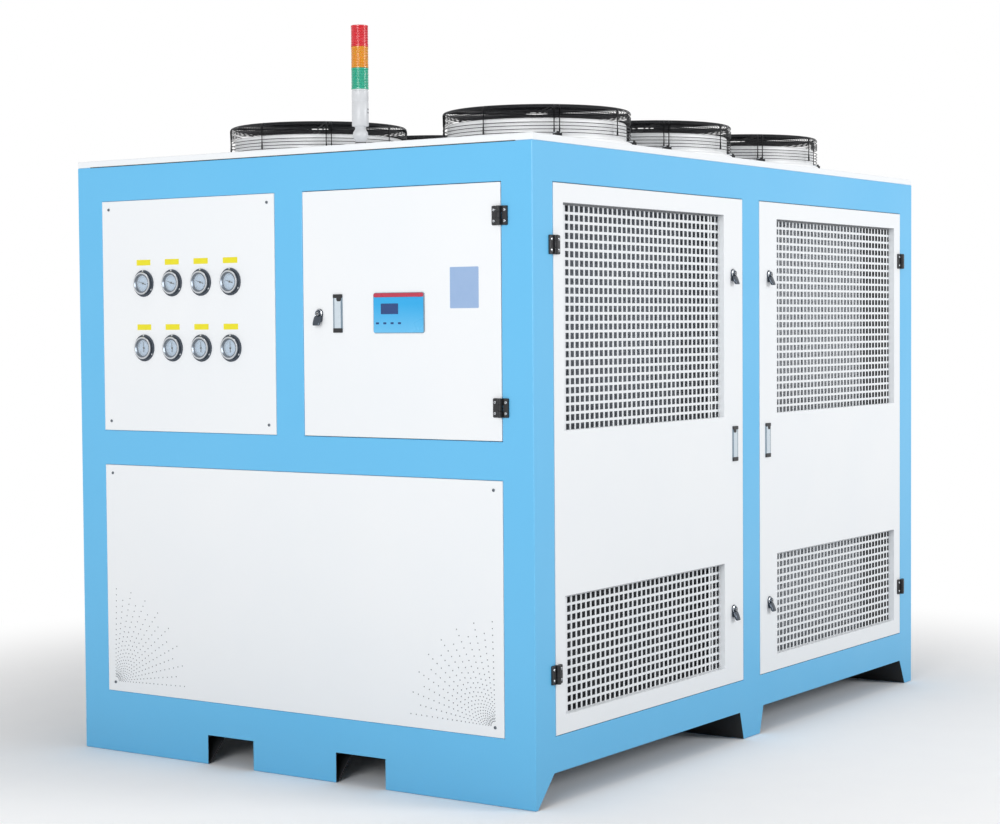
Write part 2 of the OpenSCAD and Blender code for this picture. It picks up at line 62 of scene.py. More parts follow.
# %% Camera at the photograph's viewing angle
EYE = Vector((4.4304, -6.6943, 1.4575))
AZIMUTH, PITCH, ROLL = (math.radians(a) for a in (34.257, 2.359, -0.412))
LENS, SENSOR = 77.26, 36
back = Vector((math.sin(AZIMUTH) * math.cos(PITCH), -math.cos(AZIMUTH) * math.cos(PITCH), math.sin(PITCH)))
level = (-back).cross(Vector((0, 0, 1))).normalized()
upright = back.cross(level)
right = level * math.cos(ROLL) + upright * math.sin(ROLL)
up = upright * math.cos(ROLL) - level * math.sin(ROLL)
camera = bpy.data.objects.new("photo_camera", bpy.data.cameras.new("photo_camera"))
camera.matrix_world = Matrix.Translation(EYE) @ Matrix((right, up, back)).transposed().to_4x4()
camera.data.lens, camera.data.sensor_width = LENS, SENSOR
bpy.context.scene.collection.objects.link(camera)
bpy.context.scene.camera = camera
print("camera", [round(c, 2) for c in EYE])

# %% [markdown]
# ## Nodes and colours
# Every material is a small graph. One function adds a node, sets it and links it, so that a graph reads
# from top to bottom. Colours are written as screen (sRGB) hex values and turned to linear light here. A
# colour mix takes its colours at sockets 6 and 7 and gives the result at output 2.

# %% Helpers for materials
def linear(hex_code):
    """sRGB hex to linear RGBA."""
    parts = [int(hex_code[i:i + 2], 16) / 255 for i in (1, 3, 5)]
    return [c / 12.92 if c <= 0.04045 else ((c + 0.055) / 1.055) ** 2.4 for c in parts] + [1.0]


def graph(data):
    """The emptied node tree of a material or a world."""
    data.use_nodes = True
    data.node_tree.nodes.clear()
    return data.node_tree


def add(tree, kind, links=None, **settings):
    """One node: settings are its options, links are values or other nodes' outputs for its inputs."""
    node = tree.nodes.new("ShaderNode" + kind)
    for key, value in settings.items():
        setattr(node, key, value)
    for socket, source in (links or {}).items():
        if isinstance(source, bpy.types.NodeSocket):
            tree.links.new(source, node.inputs[socket])
        else:
            node.inputs[socket].default_value = source
    return node


bpy.context.scene.view_settings.view_transform = "Standard"
print("mid grey in linear light:", [round(c, 3) for c in linear("#808080")])

# %% [markdown]
# ## Coated surfaces
# Powder coat, moulded plastic and printed film share one build: a large soft noise moves the colour and
# the gloss a little from place to place, and a fine noise is the orange peel or moulding grain as bump.
# A real coat's peel is about 1 mm, which is under one pixel here, so it is drawn two or three times as
# coarse. A low tint can be given with the heights in metres where it is full and where it ends: it paints
# shade on the coil fins, makes the blue slightly darker at the feet and prints a fade on the keypad film.

# %% A function for coated and moulded surfaces
NOISE_LOW, NOISE_HIGH = 0.3, 0.7


def coated(name, colour, shade, patch_mm, rough, grain_mm, depth_mm, ior=1.5, low=None, **sockets):
    mat = bpy.data.materials.new(name)
    tree = graph(mat)
    place = add(tree, "TexCoord").outputs["Object"]
    patch = add(tree, "TexNoise", {"Vector": place, "Scale": 1000 / patch_mm, "Detail": 5.0}).outputs["Fac"]
    tone = add(tree, "Mix", {0: patch, 6: linear(colour), 7: linear(shade)}, data_type="RGBA").outputs[2]
    if low:
        tint, full_z, none_z, speck_mm = low
        height = add(tree, "SeparateXYZ", {0: place}).outputs["Z"]
        share = add(tree, "MapRange", {0: height, 1: full_z, 2: none_z, 3: 1.0, 4: 0.0}).outputs[0]
        speck = add(tree, "TexNoise", {"Vector": place, "Scale": 1000 / speck_mm, "Detail": 6.0})
        share = add(tree, "Math", {0: share, 1: speck.outputs["Fac"]}, operation="MULTIPLY").outputs[0]
        tone = add(tree, "Mix", {0: share, 6: tone, 7: linear(tint)}, data_type="RGBA").outputs[2]
    gloss = add(tree, "MapRange", {0: patch, 1: NOISE_LOW, 2: NOISE_HIGH, 3: rough * 0.85, 4: rough * 1.15})
    grain = add(tree, "TexNoise", {"Vector": place, "Scale": 1000 / grain_mm, "Detail": 2.0}).outputs["Fac"]
    bump = add(tree, "Bump", {"Strength": 0.5, "Distance": depth_mm * MM, "Height": grain}).outputs[0]
    shader = add(tree, "BsdfPrincipled", {"Base Color": tone, "Roughness": gloss.outputs[0], "Normal": bump,
                                          "IOR": ior, **sockets})
    add(tree, "OutputMaterial", {0: shader.outputs[0]})
    return mat


print("coat recipe ready")

# %% [markdown]
# ## The finishes of this machine
# Powder coat is a baked polymer, so it takes an IOR near 1.5 and a satin roughness. The blue is the more
# glossy coat; the white has a fine texture that scatters the light. Black coats and plastics keep a little
# grey, because nothing real is fully black.

# %% Powder coats and plastics
# Powder coat: a fine orange peel spreads each highlight. The collars and necks take a smoother white, painted
# brighter as light against the shade of the wire guards.
# The low tint makes the blue slightly darker, in patches, below 0.16 m.
BLUE_COAT = coated("powder_coated_steel_sky_blue", "#6AC0EE", "#63BBEB", 420, 0.36, 3.0, 0.10,
                   low=("#6ABBE8", 0.0, 0.16, 22))
WHITE_COAT = coated("powder_coated_steel_white", "#F2F4F6", "#ECF0F4", 380, 0.46, 2.4, 0.12)
BRIGHTENED_WHITE = coated("white_coat_painted_bright", "#FCFDFE", "#F8FAFC", 200, 0.38, 2.4, 0.06)
GRILLE_COAT = coated("powder_coated_perforated_sheet", "#F1F3F5", "#E7EBEF", 90, 0.48, 2.2, 0.12)
# Dipped wire has a soft sheen, so the baskets read as black lines; paint on the blades shines more.
BLACK_WIRE = coated("black_dipped_steel_wire", "#121317", "#1A1B1F", 60, 0.48, 2.5, 0.10, 1.4)
BLADE_PAINT = coated("black_painted_aluminium_blade", "#1A1B1E", "#2A2C30", 70, 0.42, 3.0, 0.12)
# Moulded plastics: the mould gives an even satin, duller on nylon and brighter on ABS.
BLACK_NYLON = coated("black_moulded_nylon", "#0F1013", "#191A1E", 14, 0.45, 1.6, 0.10, 1.53)
PALE_ABS = coated("pale_grey_moulded_abs", "#D5D7DA", "#CACDD1", 30, 0.33, 2.0, 0.05, 1.53)
ICE_ABS = coated("ice_white_moulded_abs", "#D3DEE6", "#C3D0DA", 26, 0.30, 2.0, 0.05, 1.53)
MIST_ABS = coated("mist_grey_moulded_abs", "#8194A3", "#708493", 20, 0.32, 2.0, 0.05, 1.53)
# Black is painted shade on the feet and at the coil ends. The coil fins are dry and dull; the rear fins are
# painted lighter as light and the front fins darker as shade, darkest low down.
SHADE_BLACK = coated("black_painted_shade", "#1B1C1E", "#27282A", 40, 0.60, 2.0, 0.15)
FIN_LIT = coated("aluminium_coil_fin_painted_light", "#F1F3F6", "#E6E9EE", 60, 0.50, 3.0, 0.05)
FIN_SHADED = coated("aluminium_coil_fin_painted_shade", "#C4C9D0", "#B0B6BF", 60, 0.55, 3.0, 0.05,
                   low=("#0C0D10", 0.72, 0.98, 900))
# Rubber: open cells hold the light, so it shows no highlight. The grey strips under the window tops are
# painted shade, and so are the rubber strips under the roof edge and in the door slits.
SHADE_GREY = coated("grey_painted_shade_strip", "#8C8E91", "#808285", 12, 0.80, 2.0, 0.20)
RUBBER = coated("black_foam_rubber_gasket", "#1D1E20", "#2B2C2E", 12, 0.75, 2.0, 0.30, 1.52)
# Label vinyl and film are smooth and even; ink and card are flat.
YELLOW_VINYL = coated("yellow_vinyl_label", "#EEE41C", "#E6D918", 22, 0.42, 3.0, 0.03, 1.52)
PALE_SHEET = coated("pale_blue_film_label", "#9DB8DC", "#91AED6", 34, 0.40, 3.0, 0.03, 1.52)
DARK_INK = coated("dark_screen_print_ink", "#4A5158", "#5B636B", 9, 0.55, 2.0, 0.02)
DIAL_CARD = coated("pale_printed_dial_card", "#C3D5E6", "#B2C8DE", 18, 0.50, 2.0, 0.03)
# Polyester film and display glass: a tight highlight over a strong colour; the film fades downwards.
FILM_BLUE = coated("blue_polyester_keypad_film", "#27AEE8", "#1BA3E2", 90, 0.30, 2.5, 0.04, 1.57,
                   low=("#8AD2F6", 1.425, 1.52, 400))
FILM_RED = coated("red_polyester_keypad_film", "#C0304C", "#B02443", 40, 0.30, 2.5, 0.04, 1.57)
LCD_GLASS = coated("dark_blue_lcd_glass", "#123A74", "#1A4480", 16, 0.12, 4.0, 0.01, 1.52)
print("coated finishes made")

# %% [markdown]
# ## Ribbed lenses
# The signal lamps are dyed polycarbonate. Light goes in and comes back coloured, so some subsurface
# scatter is mixed into a strong body colour, and a thin clear coat gives the moulded gloss.

# %% Lens plastics
def lens_plastic(name, colour, shade):
    return coated(name, colour, shade, 25, 0.26, 3.0, 0.02, 1.585,
                  **{"Subsurface Weight": 0.25, "Subsurface Scale": 0.01, "Coat Weight": 0.1})


RED_LENS = lens_plastic("red_polycarbonate_lens", "#D6222F", "#C91828")
AMBER_LENS = lens_plastic("amber_polycarbonate_lens", "#DC9412", "#D4860A")
GREEN_LENS = lens_plastic("green_polycarbonate_lens", "#22AC8E", "#149C7C")
print("lenses made")

# %% [markdown]
# ## Bare metals
# Chrome plate and stainless steel are full metals, with their default IOR and only the roughness worked:
# fine smudges for chrome, a duller turned finish for stainless. Galvanised sheet shows its zinc crystals, the
# spangle, as flat cells about 14 mm wide, which a Voronoi pattern draws well. Handling scratches are far
# below a pixel, so they are drawn 1.4 mm apart.

# %% Metals
SCRATCH_MM, SCRATCH_DEPTH = 1.43, 0.02


def metal(name, colour, shade, pattern_mm, rough_from, rough_to, pattern="TexNoise"):
    mat = bpy.data.materials.new(name)
    tree = graph(mat)
    place = add(tree, "TexCoord").outputs["Object"]
    grey = add(tree, pattern, {"Vector": place, "Scale": 1000 / pattern_mm}).outputs["Color"]
    tone = add(tree, "Mix", {0: grey, 6: linear(colour), 7: linear(shade)}, data_type="RGBA").outputs[2]
    gloss = add(tree, "MapRange", {0: grey, 1: 0.2, 2: 0.8, 3: rough_from, 4: rough_to}).outputs[0]
    scratch = add(tree, "TexNoise", {"Vector": place, "Scale": 1000 / SCRATCH_MM, "Detail": 3.0})
    bump = add(tree, "Bump", {"Strength": 0.25, "Distance": SCRATCH_DEPTH * MM,
                              "Height": scratch.outputs["Fac"]}).outputs[0]
    shader = add(tree, "BsdfPrincipled", {"Base Color": tone, "Roughness": gloss, "Normal": bump,
                                          "Metallic": 1.0})
    add(tree, "OutputMaterial", {0: shader.outputs[0]})
    return mat


# Zinc spangle breaks the light into dull cells.
GALVANISED = metal("galvanised_sheet", "#B9BDC1", "#A3A8AD", 14, 0.38, 0.58, "TexVoronoi")
# Plate and turned steel mirror the room, a little blurred by handling.
CHROME = metal("chrome_plate", "#CFD2D6", "#BFC3C8", 9, 0.07, 0.16)
STAINLESS = metal("turned_stainless_steel", "#BEBFC0", "#A9ABAD", 5, 0.22, 0.36)
# Castings and black plate do the same over a darker base. On the gauges the black and grey plates are chrome
# painted darker, as painted reflection.
ZINC_DARK = metal("dark_zinc_die_casting", "#7F868D", "#666D75", 7, 0.22, 0.36)
BLACK_CHROME = metal("black_chrome_plate", "#596069", "#454B53", 8, 0.16, 0.28)
SHADED_CHROME = metal("chrome_painted_grey_reflection", "#7D848C", "#656C75", 8, 0.20, 0.32)
# Drawn tube, warm and slightly tarnished.
COPPER = metal("copper_tube", "#C98A62", "#B0744E", 20, 0.25, 0.42)
print("metals made")

# %% [markdown]
# ## Clear pane
# The gauge windows are flat glass. Real refraction adds nothing on a thin pane, so a clear, mostly
# see-through shader keeps the gloss of the glass and lets the dial show. Wipe marks as wide as a finger
# dull the gloss a little in places.

# %% Gauge glass
WIPE_MM = 16.7
GLASS = bpy.data.materials.new("clear_gauge_glass")
tree = graph(GLASS)
place = add(tree, "TexCoord").outputs["Object"]
wipe = add(tree, "TexNoise", {"Vector": place, "Scale": 1000 / WIPE_MM, "Detail": 4.0}).outputs["Fac"]
haze = add(tree, "MapRange", {0: wipe, 1: NOISE_LOW, 2: NOISE_HIGH, 3: 0.02, 4: 0.08}).outputs[0]
pane = add(tree, "BsdfPrincipled", {"Base Color": linear("#E8F0F6"), "Roughness": haze, "Alpha": 0.12,
                                    "IOR": 1.52})
add(tree, "OutputMaterial", {0: pane.outputs[0]})
print("glass made")

# %% [markdown]
# ## Floor, light and background
# The picture is a studio cut-out on white. A pale floor keeps the contact shadow and fades to white with
# distance; to the eye it is white, but it throws back only the light of a grey workshop floor, so that
# the undersides stay dark. The world is plain white to the eye and to mirrors. Three wide lamps give
# soft light from the front, the right and above, at a level where a colour renders about as written.

# %% Studio
FADE_FROM, FADE_TO, GRIT_MM = 1.6, 3.6, 167
bpy.ops.mesh.primitive_grid_add(x_subdivisions=2, y_subdivisions=2, size=60)
floor = bpy.context.object
floor.name = "studio_floor"
floor.location.z = -0.001
floor_mat = bpy.data.materials.new("pale_studio_floor")
tree = graph(floor_mat)
ground = add(tree, "TexCoord").outputs["Object"]
far = add(tree, "VectorMath", {0: ground}, operation="LENGTH").outputs["Value"]
fade = add(tree, "MapRange", {0: far, 1: FADE_FROM, 2: FADE_TO, 3: 0.0, 4: 1.0},
           interpolation_type="SMOOTHSTEP")
grit = add(tree, "TexNoise", {"Vector": ground, "Scale": 1000 / GRIT_MM}).outputs["Fac"]
paper = add(tree, "Mix", {0: grit, 6: linear("#FFFFFF"), 7: linear("#FCFCFD")}, data_type="RGBA").outputs[2]
bright = add(tree, "BsdfDiffuse", {"Color": paper})
dull = add(tree, "BsdfDiffuse", {"Color": linear("#D6D8DA")})
looked_at = add(tree, "LightPath").outputs["Is Camera Ray"]
matt = add(tree, "MixShader", {0: looked_at, 1: dull.outputs[0], 2: bright.outputs[0]})
white = add(tree, "Emission", {"Strength": 1.0})
sheet = add(tree, "MixShader", {0: fade.outputs[0], 1: matt.outputs[0], 2: white.outputs[0]})
add(tree, "OutputMaterial", {0: sheet.outputs[0]})
floor.data.materials.append(floor_mat)

world = bpy.data.worlds.new("white_studio")
bpy.context.scene.world = world
tree = graph(world)
ray = add(tree, "LightPath")
seen = ray.outputs["Is Camera Ray"]
for kind in ("Is Glossy Ray", "Is Transmission Ray"):
    seen = add(tree, "Math", {0: seen, 1: ray.outputs[kind]}, operation="MAXIMUM").outputs[0]
sky = add(tree, "Background", {"Color": linear("#FFFFFF"), "Strength": 0.38})
screen = add(tree, "Background", {"Color": linear("#FFFFFF"), "Strength": 1.0})
both = add(tree, "MixShader", {0: seen, 1: sky.outputs[0], 2: screen.outputs[0]})
add(tree, "OutputWorld", {0: both.outputs[0]})


def soft_lamp(name, place, aim, size, watts):
    lamp = bpy.data.objects.new(name, bpy.data.lights.new(name, "AREA"))
    lamp.data.shape, lamp.data.size, lamp.data.energy = "DISK", size, watts
    lamp.location = place
    lamp.rotation_euler = (Vector(aim) - Vector(place)).to_track_quat("-Z", "Y").to_euler()
    bpy.context.scene.collection.objects.link(lamp)


soft_lamp("front_lamp", (2.0, -8.5, 3.0), (0, -1, 0.8), 4.0, 260)
soft_lamp("side_lamp", (8.5, 2.0, 3.8), (0.9, 0.3, 0.8), 3.0, 268)
soft_lamp("top_lamp", (0.0, 0.0, 8.0), (0, 0, 0), 6.0, 125)
print("studio made")

# %% [markdown]
# ## Basic shapes
# A piece is a pile of simple shapes given as vertices and faces: blocks, turned profiles (lathe), bent
# wire (tube), cut plates and lofts. Piling them by hand, rather than with operators, keeps the script
# fast and every size exact.

# %% Turned shapes and wire
def polar(r, degrees):
    return r * math.cos(math.radians(degrees)), r * math.sin(math.radians(degrees))


def circle(r, count):
    return [polar(r, 360 * i / count) for i in range(count)]


def lathe(profile, count=48, ring=False):
    """Turn (radius, height) points round Z. A ring closes the profile on itself."""
    verts, faces, rows = [], [], []
    for r, z in profile:
        if r < 1e-6:
            rows.append([len(verts)] * count)
            verts.append((0, 0, z))
        else:
            rows.append(list(range(len(verts), len(verts) + count)))
            verts += [(*p, z) for p in circle(r, count)]
    for a, b in list(zip(rows, rows[1:])) + ([(rows[-1], rows[0])] if ring else []):
        for i in range(count):
            j = (i + 1) % count
            faces.append(list(dict.fromkeys((a[i], a[j], b[j], b[i]))))
    return verts, faces


def skin(rows, count, closed=False):
    """Quads between neighbouring rows of count vertices each."""
    faces = []
    for k in range(rows if closed else rows - 1):
        a, b = k * count, (k + 1) % rows * count
        faces += [[a + i, a + (i + 1) % count, b + (i + 1) % count, b + i] for i in range(count)]
    return faces


def caps(rows, count):
    return [list(range(count))[::-1], list(range((rows - 1) * count, rows * count))]


def tube(points, radius, sides=6, closed=False):
    """Round wire along points, with its sections square to the path."""
    path = np.array(points, float)
    ahead = np.roll(path, -1, 0) - path
    behind = path - np.roll(path, 1, 0)
    if not closed:
        ahead[-1], behind[0] = behind[-1], ahead[0]
    unit = lambda v: v / np.linalg.norm(v, axis=1)[:, None]
    heading = unit(unit(ahead) + unit(behind))
    side = np.cross(heading, (0.0, 0.0, 1.0))
    flat = np.linalg.norm(side, axis=1) < 1e-3
    side[flat] = np.cross(path[flat] - path.mean(0), (0.0, 0.0, 1.0)) + (1e-9, 0, 0)
    side = unit(side)
    lift = np.cross(side, heading)
    turn = 2 * np.pi * np.arange(sides) / sides
    rings = path[:, None] + radius * (np.cos(turn)[None, :, None] * side[:, None]
                                      + np.sin(turn)[None, :, None] * lift[:, None])
    faces = skin(len(path), sides, closed) + ([] if closed else caps(len(path), sides))
    return rings.reshape(-1, 3).tolist(), faces


print("turning and wire ready")


# %% Lofts, plates and blocks
def loft(sections):
    """Skin over outlines with equal counts, closed at both ends."""
    rows, count = len(sections), len(sections[0])
    return [tuple(p) for s in sections for p in s], caps(rows, count) + skin(rows, count)


def rounded(w, h, r, steps=4, x=0, y=0):
    """Outline of a rounded rectangle, counter-clockwise."""
    out = []
    for quarter, (sx, sy) in enumerate(((1, 1), (-1, 1), (-1, -1), (1, -1))):
        for k in range(steps + 1):
            dx, dy = polar(r, 90 * (quarter + k / steps))
            out.append((x + sx * (w / 2 - r) + dx, y + sy * (h / 2 - r) + dy))
    return out


def plate(outline, z0, z1, ease=0.0):
    """Flat plate with its top edge eased inwards."""
    cx, cy = (sum(p[k] for p in outline) / len(outline) for k in (0, 1))
    reach = max(math.dist(p, (cx, cy)) for p in outline)
    levels = [(z0, 1.0), (z1 - ease, 1.0), (z1, 1 - ease / reach)] if ease else [(z0, 1.0), (z1, 1.0)]
    return loft([[(cx + (x - cx) * s, cy + (y - cy) * s, z) for x, y in outline] for z, s in levels])


def block(lo, hi):
    (x0, x1), (y0, y1), (z0, z1) = (sorted(ends) for ends in zip(lo, hi))
    return loft([[(x0, y0, z), (x1, y0, z), (x1, y1, z), (x0, y1, z)] for z in (z0, z1)])


print("lofts and plates ready")

# %% [markdown]
# ## From shapes to pieces
# A pile gathers shapes with their materials and becomes one object that rides on a CAD body. Smooth
# shading with sharp edges past 35 degrees keeps turned parts round and plates crisp; sheet work stays
# flat shaded, because smooth shading would bend the light across its wide faces.

# %% A pile of shapes becomes a piece
SHARP, CORNER = 35, 0.5


def round_edges(shell, ease, keep=None):
    """Round the outer edges; keep is a height in mm whose level edges stay sharp."""
    level = lambda e: keep is not None and all(abs(v.co.z / MM - keep) < 0.5 for v in e.verts)
    bent = lambda e: e.is_manifold and e.is_convex and e.calc_face_angle(0) > CORNER
    bmesh.ops.bevel(shell, geom=[e for e in shell.edges if bent(e) and not level(e)], offset=ease * MM,
                    segments=2, profile=0.5, affect="EDGES", clamp_overlap=True, material=-1)


class Pile:
    def __init__(self):
        self.verts, self.faces, self.finish = [], [], []

    def add(self, shape, finish, at=None):
        start = len(self.verts)
        verts, faces = shape
        self.verts += [tuple(at @ Vector(v)) for v in verts] if at else [tuple(v) for v in verts]
        self.faces += [[i + start for i in f] for f in faces]
        self.finish += [finish] * len(faces)
        return self

    def piece(self, name, body, slot, nodes=(), ease=0.0, keep=None):
        mesh = bpy.data.meshes.new(name)
        mesh.from_pydata([[c * MM for c in v] for v in self.verts], [], self.faces)
        finishes = list(dict.fromkeys(self.finish))
        for f in finishes:
            mesh.materials.append(f)
        mesh.polygons.foreach_set("material_index", [finishes.index(f) for f in self.finish])
        shell = bmesh.new()
        shell.from_mesh(mesh)
        if ease:
            bmesh.ops.remove_doubles(shell, verts=shell.verts, dist=0.01 * MM)
        bmesh.ops.recalc_face_normals(shell, faces=shell.faces)
        if ease:
            round_edges(shell, ease, keep)
        shell.to_mesh(mesh)
        shell.free()
        return settle(name, mesh, body, nodes, 0 if ease else SHARP)


def settle(name, mesh, body, nodes, sharp):
    """Make the object, shade it, hang it on the body that carries it and hide the CAD nodes it stands for."""
    if sharp:
        mesh.polygons.foreach_set("use_smooth", [True] * len(mesh.polygons))
        mesh.set_sharp_from_angle(angle=math.radians(sharp))
    mesh.update()
    obj = bpy.data.objects.new(name, mesh)
    bpy.context.scene.collection.objects.link(obj)
    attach(obj, body)
    if nodes:
        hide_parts(*nodes)
    return obj


print("piles ready")

# %% [markdown]
# ## Sheet work from boxes
# Frames, panels and folded doors are boxes joined and cut along three axes. Booleans could do it, but
# flush faces confuse them. Splitting space at every box edge, marking each cell full or empty and
# skinning the border gives a clean closed shell of flat quads; its outer edges are then rounded.
# A folded tray is then a slab with its hollow cut out, and a narrower mouth that leaves the return lip.

# %% Box work
SKIN, LIP = 2, 20


def box_work(full, empty=(), ease=0.0, keep=None):
    ordered = lambda b: [[round(f(p, q), 3) for p, q in zip(*b)] for f in (min, max)]
    full, empty = [ordered(b) for b in full], [ordered(b) for b in empty]
    cuts = [np.unique([b[k][a] for b in full + empty for k in (0, 1)]) for a in range(3)]
    solid = np.zeros([len(c) - 1 for c in cuts], bool)
    for value, boxes in ((True, full), (False, empty)):
        for box in boxes:
            cells = [np.searchsorted(c, ends) for c, ends in zip(cuts, zip(*box))]
            solid[tuple(slice(*ends) for ends in cells)] = value
    padded = np.pad(solid, 1).astype(np.int8)
    quads = []
    for axis in range(3):
        step = np.diff(np.moveaxis(padded, axis, 0), axis=0)
        for sign in (1, -1):
            for p, b, c in np.argwhere(step == sign):
                ring = [(p, b - 1, c - 1), (p, b, c - 1), (p, b, c), (p, b - 1, c)]
                ring = [tuple(np.insert(r[1:], axis, r[0])) for r in ring]
                quads.append(ring[::-1] if (sign == 1) != (axis == 1) else ring)
    index = {}
    faces = [[index.setdefault(v, len(index)) for v in q] for q in quads]
    mesh = bpy.data.meshes.new("box_work")
    mesh.from_pydata([[cuts[a][v[a]] * MM for a in range(3)] for v in index], [], faces)
    if ease:
        shell = bmesh.new()
        shell.from_mesh(mesh)
        round_edges(shell, ease, keep)
        shell.to_mesh(mesh)
        shell.free()
    return mesh


def box_piece(name, finish, body, slot, nodes, full, empty=(), **options):
    mesh = box_work(full, empty, **options)
    mesh.name = name
    mesh.materials.append(finish)
    return settle(name, mesh, body, nodes, 0)


def tray_boxes(a0, a1, b0, b1, depth, windows=()):
    """Full and empty boxes of a tray: (a, b) across and up, depth inwards, windows in (a, b)."""
    full = [[(a0, b0, 0), (a1, b1, depth)]]
    empty = [[(w[0], w[2], -1), (w[1], w[3], depth + 1)] for w in windows]
    bands = [(a0, a1, b0, b1)]
    if windows:
        (left, right, low, low_top), (_, _, high, high_top) = windows
        bands = [(a0, left, b0, b1), (right, a1, b0, b1), (a0, a1, b0, low), (a0, a1, low_top, high),
                 (a0, a1, high_top, b1)]
    for c0, c1, d0, d1 in bands:
        for wall, z0, z1 in ((SKIN, SKIN, depth - SKIN), (LIP, depth - SKIN, depth + 1)):
            if min(c1 - c0, d1 - d0) > 2 * wall + 10:
                empty.append([(c0 + wall, d0 + wall, z0), (c1 - wall, d1 - wall, z1)])
    return full, empty


def turned(boxes, at):
    """Move boxes drawn on a face into the cabinet; at only turns by right angles."""
    return [[tuple(at @ Vector((p[0], p[1], -p[2]))) for p in b] for b in boxes]


print("box work ready")

# %% [markdown]
# ## Main sizes
# The frame's edges come from the CAD nodes' boxes, so a changed CAD model moves the dressing with it. RAIL
# and
# PANEL are how deep the bars and the folded trays go in from the outer face.

# %% Sizes read from the frame
def span(node):
    lo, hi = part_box(node)
    return [c / MM for c in lo], [c / MM for c in hi]


(_, FRONT, FOOT), (SIDE, REAR, FRAME_TOP) = span("corner_posts")
BASE = span("base_rails")[1][2]
TOP = span("top_rails")[0][2]
MID, UPPER = span("end_rails")[0][2], span("end_rails")[1][2]
OPEN_X = -span("gauge_panel")[0][0]
OPEN_Y = REAR - (SIDE - OPEN_X)
STILE = span("end_stiles")[1][0]
MID_POST = span("middle_posts")[1][1]
ROOF = span("roof_panel")[1][2]
RAIL, PANEL = 60, 25
print("frame", SIDE, REAR, FRAME_TOP, "openings", OPEN_X, OPEN_Y, BASE, MID, UPPER, TOP)


def on_front(x, z, out=0.0):
    return Matrix(((1, 0, 0, x), (0, 0, -1, FRONT - out), (0, 1, 0, z), (0, 0, 0, 1)))


def on_rear(x, z, out=0.0):
    return Matrix(((-1, 0, 0, x), (0, 0, 1, REAR + out), (0, 1, 0, z), (0, 0, 0, 1)))


def on_side(y, z, side=1, out=0.0):
    return Matrix(((0, 0, side, side * (SIDE + out)), (side, 0, 0, y), (0, 1, 0, z), (0, 0, 0, 1)))


# %% [markdown]
# ## The blue frame
# Box section posts and rails, welded, ground flush and powder coated as one. Separate bars would show a
# seam at each joint, which the real frame does not, so all of them become one shell with 2.5 mm edges.

# %% Welded frame
bars = []
for sx in (-1, 1):
    bars.append([(sx * (SIDE - RAIL), -MID_POST, BASE), (sx * SIDE, MID_POST, TOP)])
    for sy in (-1, 1):
        bars.append([(sx * OPEN_X, sy * OPEN_Y, FOOT), (sx * SIDE, sy * REAR, FRAME_TOP)])
    for z0, z1 in ((FOOT, BASE), (TOP, FRAME_TOP)):
        bars.append([(sx * (SIDE - RAIL), -OPEN_Y, z0), (sx * SIDE, OPEN_Y, z1)])
for sy in (-1, 1):
    for z0, z1 in ((FOOT, BASE), (MID, UPPER), (TOP, FRAME_TOP)):
        bars.append([(-OPEN_X, sy * REAR, z0), (OPEN_X, sy * (REAR - RAIL), z1)])
    bars.append([(-STILE, sy * REAR, UPPER), (STILE, sy * (REAR - RAIL), TOP)])
BARS = ("base_rails", "corner_posts", "middle_posts", "top_rails", "end_rails", "end_stiles")
welded = box_piece("welded_frame", BLUE_COAT, "cabinet", "blue_paint", BARS, bars, ease=2.5, keep=FOOT)
print("frame faces", len(welded.data.polygons))

# %% [markdown]
# ## Feet
# Folded channels under the base, sloped behind, with two pockets for a fork lift. Their ends are open to
# the pockets, so one looks into a tunnel there, painted black as shade; the sloped walls are painted black
# as shade too. Each foot is skinned from its profile: an outer wall, a rim and a tunnel at every open end,
# and a plain cap at the closed ends.

# %% Foot beams
FORK_IN, FORK_OUT, TUNNEL, HOLLOW = 173.0, 370.0, 150.0, 0.84


def foot(pile, profile, x0, x1, open_low, open_high):
    """profile is (y, z) points; the open ends get a rim and a tunnel."""
    count = len(profile)
    cy, cz = (sum(p[k] for p in profile) / count for k in (0, 1))
    inner = [(cy + (y - cy) * HOLLOW, cz + (z - cz) * HOLLOW) for y, z in profile]
    ring = lambda shape, x: [(x, y, z) for y, z in shape]
    side = lambda a, b: (a + b, skin(2, count))
    verts, walls = side(ring(profile, x0), ring(profile, x1))
    for wall in walls:
        # Sloped walls are painted black as shade instead of blue.
        sloped = all(abs(p - q) > 1 for p, q in zip(profile[wall[0]], profile[wall[1]]))
        pile.add((verts, [wall]), SHADE_BLACK if sloped else BLUE_COAT)
    for x, inward, is_open in ((x0, 1, open_low), (x1, -1, open_high)):
        if is_open:
            deep = x + inward * TUNNEL
            # The rim and tunnel of an open end are painted black as shade.
            pile.add(side(ring(profile, x), ring(inner, x)), SHADE_BLACK)
            pile.add(side(ring(inner, x), ring(inner, deep)), SHADE_BLACK)
            pile.add((ring(inner, deep), [list(range(count))]), SHADE_BLACK)
        else:
            pile.add((ring(profile, x), [list(range(count))]), BLUE_COAT)


FEET = {"front": [(FRONT, 0), (FRONT + 12, 0), (FRONT + 104, FOOT), (FRONT, FOOT)],
        "middle": [(-61.5, 0), (61.5, 0), (89, FOOT), (-89, FOOT)],
        "rear": [(REAR - 68, 0), (REAR, 0), (REAR, FOOT), (REAR - 116, FOOT)]}
for row, profile in FEET.items():
    channel = Pile()
    foot(channel, profile, -SIDE, -FORK_OUT, False, True)
    foot(channel, profile, -FORK_IN, FORK_IN, True, True)
    foot(channel, profile, FORK_OUT, SIDE, True, False)
    channel.piece(row + "_foot_channel", "cabinet", "blue_paint", (row + "_foot_beam",), 3.0, FOOT)
print("feet made")

